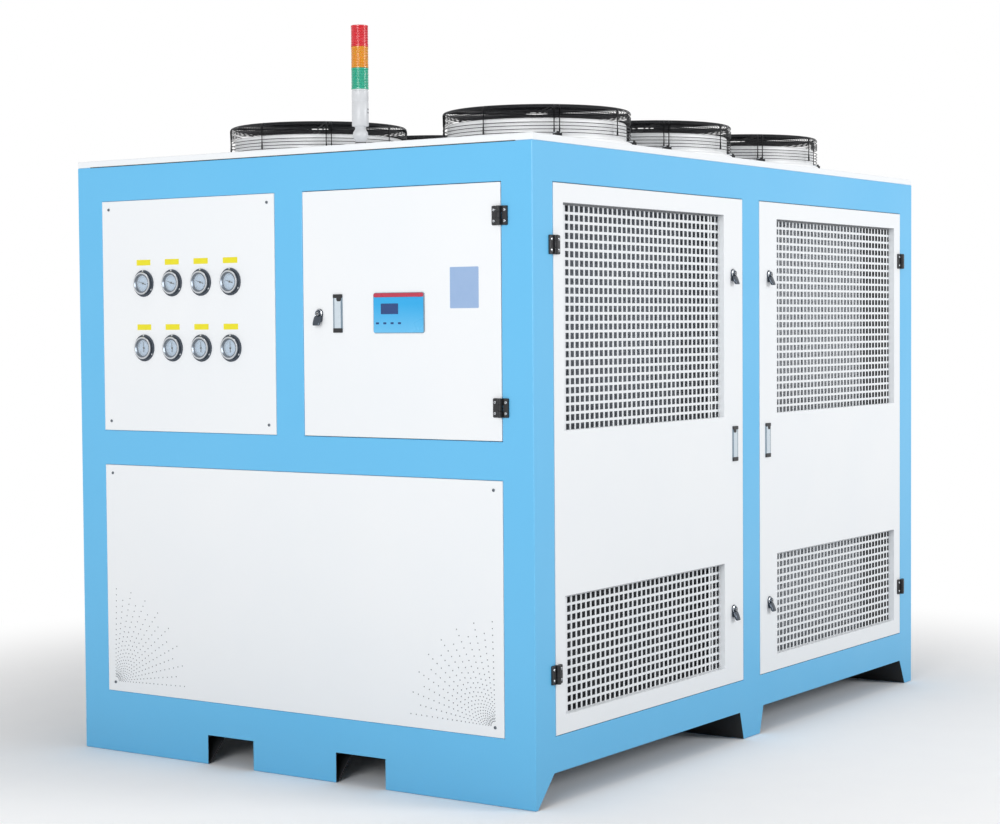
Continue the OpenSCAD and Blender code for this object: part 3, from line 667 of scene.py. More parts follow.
# %% [markdown]
# ## Screws
# Pan head screws hold the panels and hinges. A turned dome with a sunk cross reads as a screw from close
# by; the cross is two dark slots let into the head.

# %% Screw heads
def screw(pile, at, r, finish, cross=True):
    head = [(r, 0), (r, r * 0.25), (r * 0.85, r * 0.5), (r * 0.45, r * 0.62), (0, r * 0.65)]
    pile.add(lathe(head, 20), finish, at)
    if cross:
        for w, h in ((r * 0.1, r * 0.55), (r * 0.55, r * 0.1)):
            pile.add(block((-w, -h, r * 0.5), (w, h, r * 0.68)), BLACK_NYLON, at)


print("screws ready")

# %% [markdown]
# ## Fixed white panels
# Each panel is a folded tray screwed into its opening. It is drawn 1 mm smaller than the opening all
# round, so that the fine dark joint line of the real panel shows, with rounded folds at its edges.

# %% Front and rear panels
GAP = 1.0


def tray(name, node, body, at, *sizes):
    full, empty = (turned(boxes, at) for boxes in tray_boxes(*sizes))
    box_piece(name, WHITE_COAT, body, "white_paint", (node,), full, empty, ease=1.6)


def eased_copy(node, name, ease):
    """A white copy of a CAD node with merged flats and rounded edges, standing for the node."""
    shell = bmesh.new()
    shell.from_mesh(frame["nodes"][node].data)
    bmesh.ops.remove_doubles(shell, verts=shell.verts, dist=0.01 * MM)
    bmesh.ops.dissolve_limit(shell, angle_limit=0.01, verts=shell.verts, edges=shell.edges)
    round_edges(shell, ease)
    mesh = bpy.data.meshes.new(name)
    shell.to_mesh(mesh)
    shell.free()
    mesh.materials.append(WHITE_COAT)
    mesh.polygons.foreach_set("material_index", [0] * len(mesh.polygons))
    settle(name, mesh, "cabinet", (node,), 25)


for name, node, x0, x1, z0, z1 in (("gauge_panel_tray", "gauge_panel", -OPEN_X, -STILE, UPPER, TOP),
                                   ("lower_front_tray", "front_lower_panel", -OPEN_X, OPEN_X, BASE, MID)):
    tray(name, node, "cabinet", on_front(0, 0), x0 + GAP, x1 - GAP, z0 + GAP, z1 - GAP, PANEL)
eased_copy("rear_panels", "rear_trays", 1.5)

screws = Pile()
upper = [(x, z) for z in (TOP - 29, UPPER + 32) for x in (32 - OPEN_X, -STILE - 31.5)]
lower = [(x, z) for z in (MID - 29, BASE + 31) for x in (34 - OPEN_X, OPEN_X - 34)]
for x, z in upper + lower:
    screw(screws, on_front(x, z), 5.0, ZINC_DARK)
for x, z in lower + upper + [(-x, z) for x, z in upper]:
    screw(screws, on_rear(x, z), 5.0, ZINC_DARK)
screws.piece("panel_screws", "cabinet", "chrome")
print("panels made")

# %% [markdown]
# ## Dot fans
# The lower panel carries two fans of small dots, spreading from its lower corners and thinning outwards.
# They are flat discs of ink 0.2 mm thick on plain rays, closer together near the corner.

# %% Printed dots
dots = Pile()
RAYS, INK = 15, 0.2
for sx in (-1, 1):
    for ray in range(RAYS):
        reach, r, gap = 318 - 34 * (ray % 2), 16 + 6 * (ray % 2), 9.0
        while r < reach:
            across, rise = polar(r, 1.5 + 87 * ray / (RAYS - 1))
            at = on_front(sx * (OPEN_X - 34 - across), BASE + 35 + rise)
            size = 1.5 + 0.5 * min(1.0, r / 150)
            dots.add(lathe([(size, 0), (size, INK), (0, INK)], 8), DARK_INK, at)
            r, gap = r + gap, min(20.5, gap + 0.8)
dots.piece("dot_fans", "cabinet", "black_plastic")
print("dots made")

# %% [markdown]
# ## Roof and fan collars
# The roof is one white sheet with six round openings; each has a turned collar that carries its guard,
# and a neck that stands up inside it. One lathe profile makes both, with soft edges at the top.

# %% Roof sheet and collars
COLLAR_W, COLLAR_H, NECK_W, SEAM_IN, SEAM_H = 30, 32, 10, 60, 1.2
eased_copy("roof_panel", "roof_sheet", 3.0)
# Black strips along the front and rear roof joint are painted shade, the shadow line under the roof edge.
seam = Pile()
for y in (FRONT - 0.3, REAR + 0.3):
    lo, hi = (SEAM_IN - SIDE, y, FRAME_TOP - SEAM_H), (SIDE - SEAM_IN, y * 0.99, FRAME_TOP + SEAM_H)
    seam.add(block(lo, hi), RUBBER)
seam.piece("roof_seam_shade_strips", "cabinet", "black_plastic")
SPIN = {j["name"]: [c / MM for c in j["pos_m"]] for j in frame["joints"] if j["name"].startswith("fan_")}
FANS = {(column, row): Matrix.Translation(SPIN[f"fan_{column}_{row}_spin"][:2] + [0])
        for column in ("left", "right") for row in ("front", "middle", "rear")}
_, hi = span("fan_collars")
COLLAR_OUT = hi[0] - FANS["right", "front"].translation.x
COLLAR_IN, COLLAR_TOP, NECK_TOP = COLLAR_OUT - COLLAR_W, ROOF + COLLAR_H, hi[2]
NECK_OUT = COLLAR_IN + NECK_W
rim = [(COLLAR_IN, ROOF - 20), (COLLAR_OUT - 2, ROOF - 1), (COLLAR_OUT, ROOF), (COLLAR_OUT, COLLAR_TOP - 4),
       (COLLAR_OUT - 1.2, COLLAR_TOP - 1.2), (COLLAR_OUT - 4, COLLAR_TOP), (NECK_OUT + 3, COLLAR_TOP),
       (NECK_OUT, COLLAR_TOP + 3), (NECK_OUT, NECK_TOP), (NECK_OUT - 3, NECK_TOP + 4),
       (COLLAR_IN + 3, NECK_TOP + 4), (COLLAR_IN, NECK_TOP)]
collars = Pile()
for spot in FANS.values():
    # The collars are painted brighter white as light, against the shade of the guards.
    collars.add(lathe(rim, 96, ring=True), BRIGHTENED_WHITE, spot)
collars.piece("fan_collar_rings", "cabinet", "white_paint", ("fan_collars",))
print("roof made")

# %% [markdown]
# ## Wire guards
# Each fan has a flat basket of black dipped wire: close rings over the top and down the side, welded to
# bent rods, single ones on the axes and pairs on the diagonals. The pairs end in lugs that reach over
# the collar and down to the roof. Round wire is swept as a six-sided tube, so the baskets look right
# from above as well.

# %% One guard
GUARD_R, GUARD_TOP = COLLAR_OUT - 1, span("fan_guards_left")[1][2] + 5
WIRE_R, ROD_R, SHOULDER = 1.35, 3.5, 9
RINGS, EYE_R, RING_STEP, ROD_PAIR, HOOP = 31, 46, 8.5, 9, 84
LUG_W, LUG_H = 24, 12


def spun(at, degrees):
    return at @ Matrix.Rotation(math.radians(degrees), 4, "Z")


def moved(at, x, y, z):
    return at @ Matrix.Translation((x, y, z))


def guard_basket():
    basket = Pile()
    outer, over = GUARD_R - ROD_R, GUARD_TOP - ROD_R
    wall, crown, curve = outer - 1, over + 1.5, SHOULDER + 1
    bend = lambda r, z, size, t: (r - size * (1 - math.cos(t)), z - size * (1 - math.sin(t)))
    rings = [(EYE_R + k * RING_STEP, crown) for k in range(RINGS)]
    rings += [bend(wall, crown, SHOULDER, t) for t in (0.1, 0.6, 1.1, 1.5)]
    rings += [(wall, COLLAR_TOP + 16 + k * 11) for k in range(4)]
    rings += [(wall, NECK_TOP + 6 + k * 5) for k in range(5)]
    for r, z in rings:
        basket.add(tube([(*p, z) for p in circle(r, HOOP)], WIRE_R, closed=True), BLACK_WIRE)
    for quarter in range(4):
        for turn, foot_z, offsets in ((0, 14, (0,)), (45, 3, (-ROD_PAIR, ROD_PAIR))):
            spin = spun(Matrix(), 90 * quarter + turn)
            rod = [(outer, COLLAR_TOP + foot_z), (outer, over - curve)]
            rod += [bend(outer, over, curve, t) for t in (0.4, 0.8, 1.2)]
            rod += [(outer - curve, over), (EYE_R - 2, over)]
            for off in offsets:
                basket.add(tube([(r, off, z) for r, z in rod], ROD_R), BLACK_WIRE, spin)
            if turn:
                lug = moved(spin, outer, 0, COLLAR_TOP)
                basket.add(plate(rounded(38, LUG_W, 3, x=8), 0, LUG_H, 0.8), BLACK_WIRE, lug)
                leg = block((21, -LUG_W / 2, ROOF - COLLAR_TOP), (27, LUG_W / 2, 2))
                basket.add(leg, BLACK_WIRE, lug)
                basket.add(plate(rounded(24, LUG_W, 2, x=2), LUG_H, LUG_H + 4, 0.8), GALVANISED, lug)
                basket.add(plate(rounded(9, 11, 3, x=20), LUG_H, LUG_H + 6, 0.8), BLACK_WIRE, lug)
    return basket


print("guard radius", GUARD_R, "top", GUARD_TOP)

# %% The six guards
one_basket = guard_basket()
for column in ("left", "right"):
    guards = Pile()
    for row in ("front", "middle", "rear"):
        start = len(guards.verts)
        guards.verts += (np.array(one_basket.verts) + np.array(FANS[column, row].translation)).tolist()
        guards.faces += [[i + start for i in f] for f in one_basket.faces]
        guards.finish += one_basket.finish
    guards.piece("wire_guards_" + column, "cabinet", "black_wire", ("fan_guards_" + column,))
print("one guard has", len(one_basket.faces), "faces")

# %% [markdown]
# ## Fan housings
# Under each opening hangs a short galvanised ring with a flared mouth, four arms and a ribbed motor. The
# ring is turned, the arms are folded channels, and the ribs are thin turned discs.

# %% Shrouds, arms and motors
SHROUD_LOW, SHAFT_TOP = (corner[2] for corner in span("fan_housings"))
SHROUD_R, ARM_IN, ARM_HALF = 290, 60, 14


def lifted(base, *points):
    """Part of a lathe profile, with heights counted from base."""
    return [(r, base + z) for r, z in points]


wall = lifted(SHROUD_LOW, (SHROUD_R, 14), (293, 5), (296, 0), (296, 3), (294, 7), (292, 15))
wall += lifted(FRAME_TOP, (292, -4), (296, 0), (SHROUD_R, 0))
motor = lifted(SHROUD_LOW, (0, 0), (58, 0), (64, 3))
for k in range(4):
    motor += lifted(SHROUD_LOW + 4 + k * 6, (64, 0), (70, 0.6), (70, 2.4), (64, 3))
motor += lifted(SHROUD_LOW, (60, 29), (20, 31), (12, 34)) + lifted(SHAFT_TOP, (12, -2), (10, 0), (0, 0))
housings = Pile()
for spot in FANS.values():
    housings.add(lathe(wall, 96, ring=True), GALVANISED, spot)
    for quarter in range(4):
        spin = moved(spun(spot, 45 + 90 * quarter), 0, 0, SHROUD_LOW)
        for y0, y1, z1 in ((-ARM_HALF, ARM_HALF, 7), (-ARM_HALF, -11, 18), (11, ARM_HALF, 18)):
            housings.add(block((ARM_IN, y0, 4), (SHROUD_R + 1, y1, z1)), GALVANISED, spin)
    housings.add(lathe(motor, 40), BLADE_PAINT, spot)
housings.piece("fan_housing_rings", "cabinet", "galvanised_sheet", ("fan_housings",))
print("housings made")

# %% [markdown]
# ## Fan rotors
# Five swept blades on a pressed hub. A flat blade would look like a paddle from above, so each blade is
# lofted from curved sections: wide and flatter at the tip, steeper at the root, swept towards the tip.

# %% Rotors
HUB_LOW, HUB_HIGH, HUB_R, BORE = 1945.0, 1985.0, 60.0, 12.3
BLADES, ROOT_R, REACH, STATIONS, CHORD_POINTS = 5, 48, 224, 9, 7


def blade_sections():
    rows = []
    for t in (k / (STATIONS - 1) for k in range(STATIONS)):
        radius = ROOT_R + t * REACH
        chord, pitch, sweep = 92 + 46 * t, math.radians(31 - 11 * t), math.radians(20 * t * t)
        upper, lower = [], []
        for j in range(CHORD_POINTS):
            s = j / (CHORD_POINTS - 1) - 0.5
            camber = 9 * (1 - 4 * s * s)
            thick = 1.6 * (1 - 0.7 * (2 * s) ** 2)
            for row, side in ((upper, 1), (lower, -1)):
                across, rise = s * chord, camber + side * thick - 4
                y = across * math.cos(pitch) - rise * math.sin(pitch)
                z = across * math.sin(pitch) + rise * math.cos(pitch) + (HUB_LOW + HUB_HIGH) / 2
                row.append((*polar(radius, math.degrees(sweep + y / radius)), z))
        rows.append(upper + lower[::-1])
    return rows


blade = loft(blade_sections())
hub = lifted(HUB_LOW, (BORE, 0), (52, 0), (58, 2), (HUB_R, 6))
hub += lifted(HUB_HIGH, (HUB_R, -8), (56, -2), (50, 0), (34, 0), (30, -4), (18, -4), (16, 0), (BORE, 0))
for (column, row), spot in FANS.items():
    fan = f"{column}_{row}"
    rotor = Pile().add(lathe(hub, 48, ring=True), BLADE_PAINT, spot)
    for k in range(BLADES):
        spin = spun(spot, 360 / BLADES * k)
        rotor.add(blade, BLADE_PAINT, spin)
        screw(rotor, moved(spin, 43, 0, HUB_HIGH - 0.5), 4.5, ZINC_DARK)
    rotor.piece(f"fan_rotor_{fan}_blades", f"fan_{fan}", "fan_blade", (f"fan_rotor_{fan}",))
print("rotors made")

# %% [markdown]
# ## Side doors
# Each door is a tray folded from sheet: a 2 mm face, 25 mm edges and a return lip behind, with two
# window openings and a foam gasket on the lip. It is drawn as one door and mirrored to the four places.
# The slit of 2 mm round it is the dark line that shows a door from a panel; black strips set in its top and
# bottom runs are painted shade.

# %% Door trays
(_, DOOR_Y0, DOOR_Z0), (_, DOOR_Y1, DOOR_Z1) = span("right_rear_door")
WIN_Y0, WIN_Y1 = DOOR_Y0 + 130, DOOR_Y1 - 52
WINDOWS = ((DOOR_Z0 + 54, DOOR_Z0 + 416), (DOOR_Z1 - 745, DOOR_Z1 - 55))
SLIT, SEAL_W, SEAL_IN = 2.0, 10, 3


def gasket(pile, a0, a1, b0, b1, at):
    a0, a1, b0, b1 = a0 + SEAL_IN, a1 - SEAL_IN, b0 + SEAL_IN, b1 - SEAL_IN
    low, high = b0 + SEAL_W, b1 - SEAL_W
    for lo, hi in (((a0, b0), (a1, low)), ((a0, high), (a1, b1)), ((a0, low), (a0 + SEAL_W, high)),
                   ((a1 - SEAL_W, low), (a1, high))):
        pile.add(block((*lo, -PANEL - 3.5), (*hi, -PANEL)), RUBBER, at)


SIDE_TRAY = (MID_POST + SLIT, OPEN_Y - SLIT, BASE + SLIT, TOP - SLIT, PANEL)
SIDE_WINDOWS = [(WIN_Y0, WIN_Y1, *w) for w in WINDOWS]
DOORS = {"right_front": (1, -1, "right_front_door_body"), "right_rear": (1, 1, "right_rear_door_body"),
         "left_front": (-1, -1, "cabinet"), "left_rear": (-1, 1, "cabinet")}


def door_place(sx, sy):
    """Puts (y, z, out) of the rear right door on any of the four doors."""
    return Matrix(((0, 0, sx, sx * SIDE), (sy, 0, 0, 0), (0, 1, 0, 0), (0, 0, 0, 1)))


for name, (sx, sy, body) in DOORS.items():
    at = door_place(sx, sy)
    tray(name + "_door_tray", name + "_door" if sx > 0 else "left_doors", body, at, *SIDE_TRAY, SIDE_WINDOWS)
    seal = Pile()
    gasket(seal, DOOR_Y0, DOOR_Y1, DOOR_Z0, DOOR_Z1, at)
    for y0, y1, z0, z1 in SIDE_WINDOWS:
        # Grey strips under the top of each window are painted shade, the shadow of the window's top edge.
        seal.add(block((y0, z1 - 1.5, -PANEL), (y1, z1, -2.5)), SHADE_GREY, at)
        seal.add(block((y0, z1 - 5.5, -PANEL), (y1, z1 - 1.5, 1 - PANEL)), SHADE_GREY, at)
    # Black strips in the top and bottom slits are painted shade that darkens the slit line.
    for z in (BASE + SLIT - 1.2, TOP - SLIT):
        seal.add(block((MID_POST + 8, z, -14), (OPEN_Y - 8, z + 1.2, -3)), RUBBER, at)
    seal.piece(name + "_door_gasket", body, "black_plastic")
print("door trays made, windows", WIN_Y0, WIN_Y1, WINDOWS)

# %% [markdown]
# ## Perforated grilles
# Behind each window sits a 1.5 mm plate punched with holes of 20.5 by 19.5 mm, about 28 mm apart. The
# holes run past the window edges; on the front doors one column near the latch, where the plate is
# pieced, is narrow. The holes are real: one box is cut for each, and the cell grid keeps the plate a
# closed mesh.

# %% Grille plates
HOLE_W, HOLE_H, LAP, SHEET, NARROW = 20.5, 19.5, 14.0, 1.5, 10.0
PITCH_Y, PITCH_Z = 28.4, 27.75
even = lambda first, last: [(79.8 + PITCH_Y * k, HOLE_W) for k in range(first, last)]
COLUMNS = {-1: [(5, HOLE_W), (31, HOLE_W), (54, NARROW)] + even(0, 32), 1: even(-2, 34)}
for name, (sx, sy, body) in DOORS.items():
    node = name + "_grilles" if sx > 0 else "left_grilles"
    plates, holes = [], []
    for (y0, y1, z0, z1), first, rows in zip(SIDE_WINDOWS, (18.5, 15.4), (13, 25)):
        plates.append([(y0 - LAP, z0 - LAP, PANEL), (y1 + LAP, z1 + LAP, PANEL + SHEET)])
        for column, wide in COLUMNS[sy]:
            y, dy, dz = WIN_Y0 + column, wide / 2, HOLE_H / 2
            for z in (z1 - first - PITCH_Z * k for k in range(rows)):
                holes.append([(y - dy, z - dz, PANEL), (y + dy, z + dz, PANEL + SHEET)])
    plates, holes = (turned(boxes, door_place(sx, sy)) for boxes in (plates, holes))
    box_piece(name + "_grille_plates", GRILLE_COAT, body, "white_paint", (node,), plates, holes)
print("grilles made:", len(COLUMNS[1]), "holes across")

# %% [markdown]
# ## Condenser coils
# Behind the doors stand the coils: rows of copper tube through thin aluminium fins. The real fins are
# about 2 mm apart, far below a pixel, so they are drawn 6 mm apart, as plates between end sheets. The
# rear half is painted lighter as light; the front half is painted darker as shade, most towards the floor.

# %% Coils
COIL_DEPTH, FIN_PITCH, FIN, BAY, TUBE_SHEET = 95, 6.0, 0.9, 190, 3
BEND_STEP, BEND_R, TUBE_R = 76, 19, 5
(_, y0, z0), (COIL_OUT, y1, z1) = span("condenser_coils")
COIL_IN = COIL_OUT - COIL_DEPTH
bays = round((y1 - y0) / BAY)
coils, baffles = Pile(), Pile()
for sx in (-1, 1):
    for y in np.arange(y0 + 6, y1 - 6, FIN_PITCH):
        fin = block((sx * (COIL_IN + 3), y, z0 + 4), (sx * (COIL_OUT - 3), y + FIN, z1 - 4))
        # Front fins take the painted shade, rear fins the painted light.
        coils.add(fin, FIN_SHADED if y < 0 else FIN_LIT)
    for ya, yb, finish in ((y0 + 4, 0, FIN_SHADED), (0, y1 - 4, FIN_LIT)):
        coils.add(block((sx * (COIL_IN + 20), ya, z0 + 6), (sx * (COIL_OUT - 20), yb, z1 - 6)), finish)
    sheets = [(y0 + k * (y1 - y0 - TUBE_SHEET) / bays, z0, TUBE_SHEET, z1 - z0) for k in range(bays + 1)]
    sheets += [(y0 + 3, z, y1 - y0 - 6, TUBE_SHEET) for z in (z0, z1 - TUBE_SHEET)]
    for y, z, wide, tall in sheets:
        coils.add(block((sx * COIL_IN, y, z), (sx * COIL_OUT, y + wide, z + tall)), GALVANISED)
    for z in np.arange(z0 + 40, z1 - 60, BEND_STEP):
        bend = [(sx * (COIL_OUT - 42), y0 + 2 - 18 * math.sin(t), z + BEND_R - BEND_R * math.cos(t))
                for t in np.linspace(0, math.pi, 7)]
        coils.add(tube(bend, TUBE_R, 8), COPPER)
    # Black end plates where the coils end are painted shade for the last columns of holes.
    for sy in (-1, 1):
        baffles.add(block((sx * (COIL_OUT - 10), sy * (OPEN_Y - 1.5), BASE + 4),
                          (sx * (SIDE - PANEL - 8), sy * (OPEN_Y - 0.3), TOP - 4)), SHADE_BLACK)
coils.piece("condenser_coil_packs", "cabinet", "coil_fin", ("condenser_coils",))
baffles.piece("coil_end_shade_baffles", "cabinet", "black_plastic")
print("coils made")

# %% [markdown]
# ## Hinges
# Black nylon block hinges: two leaves with two bright screws each, and a three-part knuckle. The fixed
# leaf and the outer knuckles stay on the frame; the other leaf and the middle knuckle go with the door.

# %% Hinge halves, drawn with the pin upright and the face AXIS_OUT behind it
HINGE_H, LEAF, AXIS_OUT, KNUCKLE, BARREL = 58.0, 27.5, 9.0, 8.0, 9.6
UPRIGHT = Matrix(((1, 0, 0, 0), (0, 0, 1, 0), (0, -1, 0, 0), (0, 0, 0, 1)))


def hinge_half(pile, at, lean, moving):
    """lean is the side, -1 or 1, on which the leaf lies; at puts the pin's middle in place."""
    leaf = rounded(LEAF - BARREL, HINGE_H, 3, x=lean * (LEAF + BARREL) / 2)
    pile.add(plate(leaf, -AXIS_OUT, -AXIS_OUT + 6.5, 1.2), BLACK_NYLON, at)
    half, sixth = HINGE_H / 2, HINGE_H / 6
    for y0, y1 in [(0.5 - sixth, sixth - 0.5)] if moving else [(-half, -sixth), (sixth, half)]:
        profile = lifted(y0, (0, 0), (KNUCKLE - 1, 0), (KNUCKLE, 1))
        ribs = int((y1 - y0) / 4)
        for k in range(ribs):
            profile += lifted(y0 + 2 + k * (y1 - y0 - 4) / ribs, (KNUCKLE, 0), (KNUCKLE - 0.7, 0.5),
                              (KNUCKLE - 0.7, 1.2), (KNUCKLE, 1.7))
        profile += lifted(y1, (KNUCKLE, -1), (KNUCKLE - 1, 0), (0, 0))
        pile.add(lathe(profile, 24), BLACK_NYLON, at @ UPRIGHT)
        pile.add(block((lean * 2, y0, -AXIS_OUT), (lean * 12, y1, -2.5)), BLACK_NYLON, at)
    for y in (-16.5, 16.5):
        screw(pile, moved(at, lean * 19.5, y, -AXIS_OUT + 6.4), 4.6, CHROME)


E_HINGE_X, E_HINGES = OPEN_X - 2.5, (UPPER + 102, TOP - 102)
S_HINGE_Y, S_HINGES = OPEN_Y - 2.5, (BASE + 189, TOP - 189)
fixed_leaves = Pile()
for z in E_HINGES:
    hinge_half(fixed_leaves, on_front(E_HINGE_X, z, AXIS_OUT), 1, False)
for sy in (-1, 1):
    for z in S_HINGES:
        hinge_half(fixed_leaves, on_side(sy * S_HINGE_Y, z, 1, AXIS_OUT), sy, False)
fixed_leaves.piece("frame_side_hinges", "cabinet", "black_plastic", ("frame_hinge_leaves",))
print("hinge leaves made")

# %% [markdown]
# ## Pulls
# Flush pulls: a pale moulded strip between two black end caps, with darker edges along its sides and a
# black finger tongue below the upper cap. Thin eased plates are stacked, so every edge catches light.

# %% Pull plates
PULL_W, PULL_H = 36.0, 121.0


def pull(pile, at, lean):
    """lean is the side of the finger tongue."""
    pile.add(plate(rounded(PULL_W, PULL_H, 2.5), 0, 3.0, 0.8), MIST_ABS, at)
    pile.add(plate(rounded(PULL_W - 11, PULL_H - 20, 2.0), 2.8, 3.8, 0.7), ICE_ABS, at)
    for y, h in ((PULL_H / 2 - 6, 12), (7 - PULL_H / 2, 14)):
        pile.add(plate(rounded(PULL_W, h, 2.0, y=y), 1.0, 4.8, 0.8), BLACK_NYLON, at)
    pile.add(plate(rounded(18, 21, 6.0, x=lean * 5, y=PULL_H / 2 - 12), 3.0, 5.0, 0.8), BLACK_NYLON, at)


print("pull plate", PULL_W, "by", PULL_H)

# %% [markdown]
# ## Lever latches
# Black chromed levers: a drop shaped base, a bright key barrel in its round top, and a paddle that leans
# out below. The base is a cut plate with a raised rim; the paddle is lofted through rounded sections,
# each given as its place along the lever, its height, its thickness and its width.

# %% One latch
PADDLE = ((-7, 6.6, 5.0, 25), (-12, 8.4, 7.0, 29), (-20, 11.4, 8.4, 30), (-28, 14.6, 8.6, 29),
          (-34, 17.0, 8.2, 27), (-37.5, 18.4, 6.0, 23))


def latch(pile, at):
    drop = [polar(15.5, a) for a in range(-10, 191, 12)] + [(-12.5, -22), (-9, -27), (9, -27), (12.5, -22)]
    pile.add(plate(drop, 0.6, 4.5, 1.2), BLACK_CHROME, at)
    collar = [(14.2, 4.2), (14.2, 5.6), (12.4, 6.6), (10.8, 5.8), (10.8, 4.2)]
    pile.add(lathe(collar, 40, ring=True), CHROME, at)
    barrel = [(9.5, 4.2), (9.5, 10.0), (8.4, 11.6), (5.6, 12.0), (4.8, 10.8), (0, 10.6)]
    pile.add(lathe(barrel, 32), BLACK_CHROME, at)
    keyway = [(5.4, 11.4), (5.4, 12.2), (3.4, 12.4), (3.4, 10.4)]
    pile.add(lathe(keyway, 24, ring=True), STAINLESS, at)
    pile.add(block((-1.1, -3.8, 10.4), (1.1, 3.8, 11.0)), BLACK_NYLON, at)
    pile.add(loft([[(x, y, z + h) for x, h in rounded(wide, thick, thick * 0.42, 3)]
                   for y, z, thick, wide in PADDLE]), BLACK_CHROME, at)
    pile.add(lathe([(0, -21), (5, -21), (5.9, -20), (5.9, 1), (0, 1)], 24), ZINC_DARK, at)
    pile.add(plate(circle(9.5, 6), -10, -4), ZINC_DARK, at)


print("paddle sections:", len(PADDLE))

# %% Fittings of the side doors
S_LATCH_Y = DOOR_Y0 + 68
S_LATCHES = {"upper": TOP - 258, "lower": BASE + 258}
S_PULL_Y, S_PULL_Z = DOOR_Y0 + 56, BASE + 831
for name, (sx, sy, body) in DOORS.items():
    fittings = Pile()
    pull(fittings, on_side(sy * S_PULL_Y, S_PULL_Z, sx), sx * sy)
    for z in S_HINGES:
        for lean, moving in ((-sy, True),) if sx > 0 else ((-1, False), (1, True)):
            hinge_half(fittings, on_side(sy * S_HINGE_Y, z, sx, AXIS_OUT), lean, moving)
    for where, z in S_LATCHES.items():
        lever = Pile() if sx > 0 else fittings
        latch(lever, on_side(sy * S_LATCH_Y, z, sx))
        if sx > 0:
            lever.piece(f"{name}_{where}_lever", f"{name}_{where}_latch_body", "chrome",
                        (f"{name}_latch_{where}",))
    node = name + "_fittings" if sx > 0 else "left_fittings"
    fittings.piece(name + "_door_fittings", body, "black_plastic", (node,))
print("side door fittings made")

# %% [markdown]
# ## Electric door
# A plain folded tray, hinged on the right, with a lever latch, a pull, the controller and a blank film
# label. Its back shows the return lip and gasket when it is open.

# %% Electric door and its fittings
E_BODY = "electric_door_body"
GRIP_Z, PULL_X, LATCH_X = MID + 507, 138, 62
LABEL_W, LABEL_H, LABEL_X, LABEL_Z = 106, 125, 687, 1567.5
(E_X0, _, E_Z0), (E_X1, _, E_Z1) = span("electric_door")
tray("electric_door_tray", "electric_door", E_BODY, on_front(0, 0),
     STILE + SLIT, OPEN_X - SLIT, UPPER + SLIT, TOP - SLIT, PANEL)
seal = Pile()
gasket(seal, E_X0, E_X1, E_Z0, E_Z1, on_front(0, 0))
seal.piece("electric_door_gasket", E_BODY, "black_plastic")
e_fit = Pile()
pull(e_fit, on_front(E_X0 + PULL_X, GRIP_Z), 1)
for z in E_HINGES:
    hinge_half(e_fit, on_front(E_HINGE_X, z, AXIS_OUT), -1, True)
e_fit.piece("electric_door_hinges_and_pull", E_BODY, "black_plastic", ("electric_door_fittings",))
e_lever = Pile()
latch(e_lever, on_front(E_X0 + LATCH_X, GRIP_Z))
e_lever.piece("electric_door_lever", "electric_latch_body", "chrome", ("electric_door_latch",))
label = plate(rounded(LABEL_W, LABEL_H, 3), 0, 0.5, 0.1)
Pile().add(label, PALE_SHEET, on_front(LABEL_X, LABEL_Z)).piece("blank_film_label", E_BODY, "dial_face")
print("electric door made")

# %% [markdown]
# ## Controller
# A keypad film over a thin moulded bezel: blue field, red header, a dark display window and four small
# keys. Film layers are thin plates, each a little proud of the last, so that edges catch the light.

# %% Controller
PAD_W, PAD_H, KEYS, KEY_STEP = 196.0, 126.0, 4, 28.4
centre = on_front((E_X0 + E_X1) / 2, GRIP_Z)
keypad = Pile()
keypad.add(plate(rounded(PAD_W, PAD_H, 8), 0, 4.0, 1.0), MIST_ABS, centre)
keypad.add(plate(rounded(PAD_W - 4, PAD_H - 16, 3, y=-6), 3.8, 4.4, 0.1), FILM_BLUE, centre)
keypad.add(plate(rounded(PAD_W - 3, 13, 6, y=PAD_H / 2 - 8), 3.8, 4.4, 0.1), FILM_RED, centre)
keypad.add(plate(rounded(67, 33, 1.5, x=-34, y=12.6), 4.3, 4.8, 0.2), LCD_GLASS, centre)
for k in range(KEYS):
    keypad.add(plate(rounded(12, 6, 1.5, x=-81 + k * KEY_STEP, y=-32), 4.3, 4.8, 0.2), LCD_GLASS, centre)
keypad.piece("controller_keypad", E_BODY, "controller_face", ("controller",))
print("controller made")

# %% [markdown]
# ## Pressure gauges
# Eight panel gauges. Turned profiles make the flange, the bezel and the well; their chrome is painted in
# three tones as painted reflection: dark on the flange, bright on the bezel, grey in the well. Card, ticks,
# pointer and glass are layered inside. A blank yellow strip sits above each gauge.

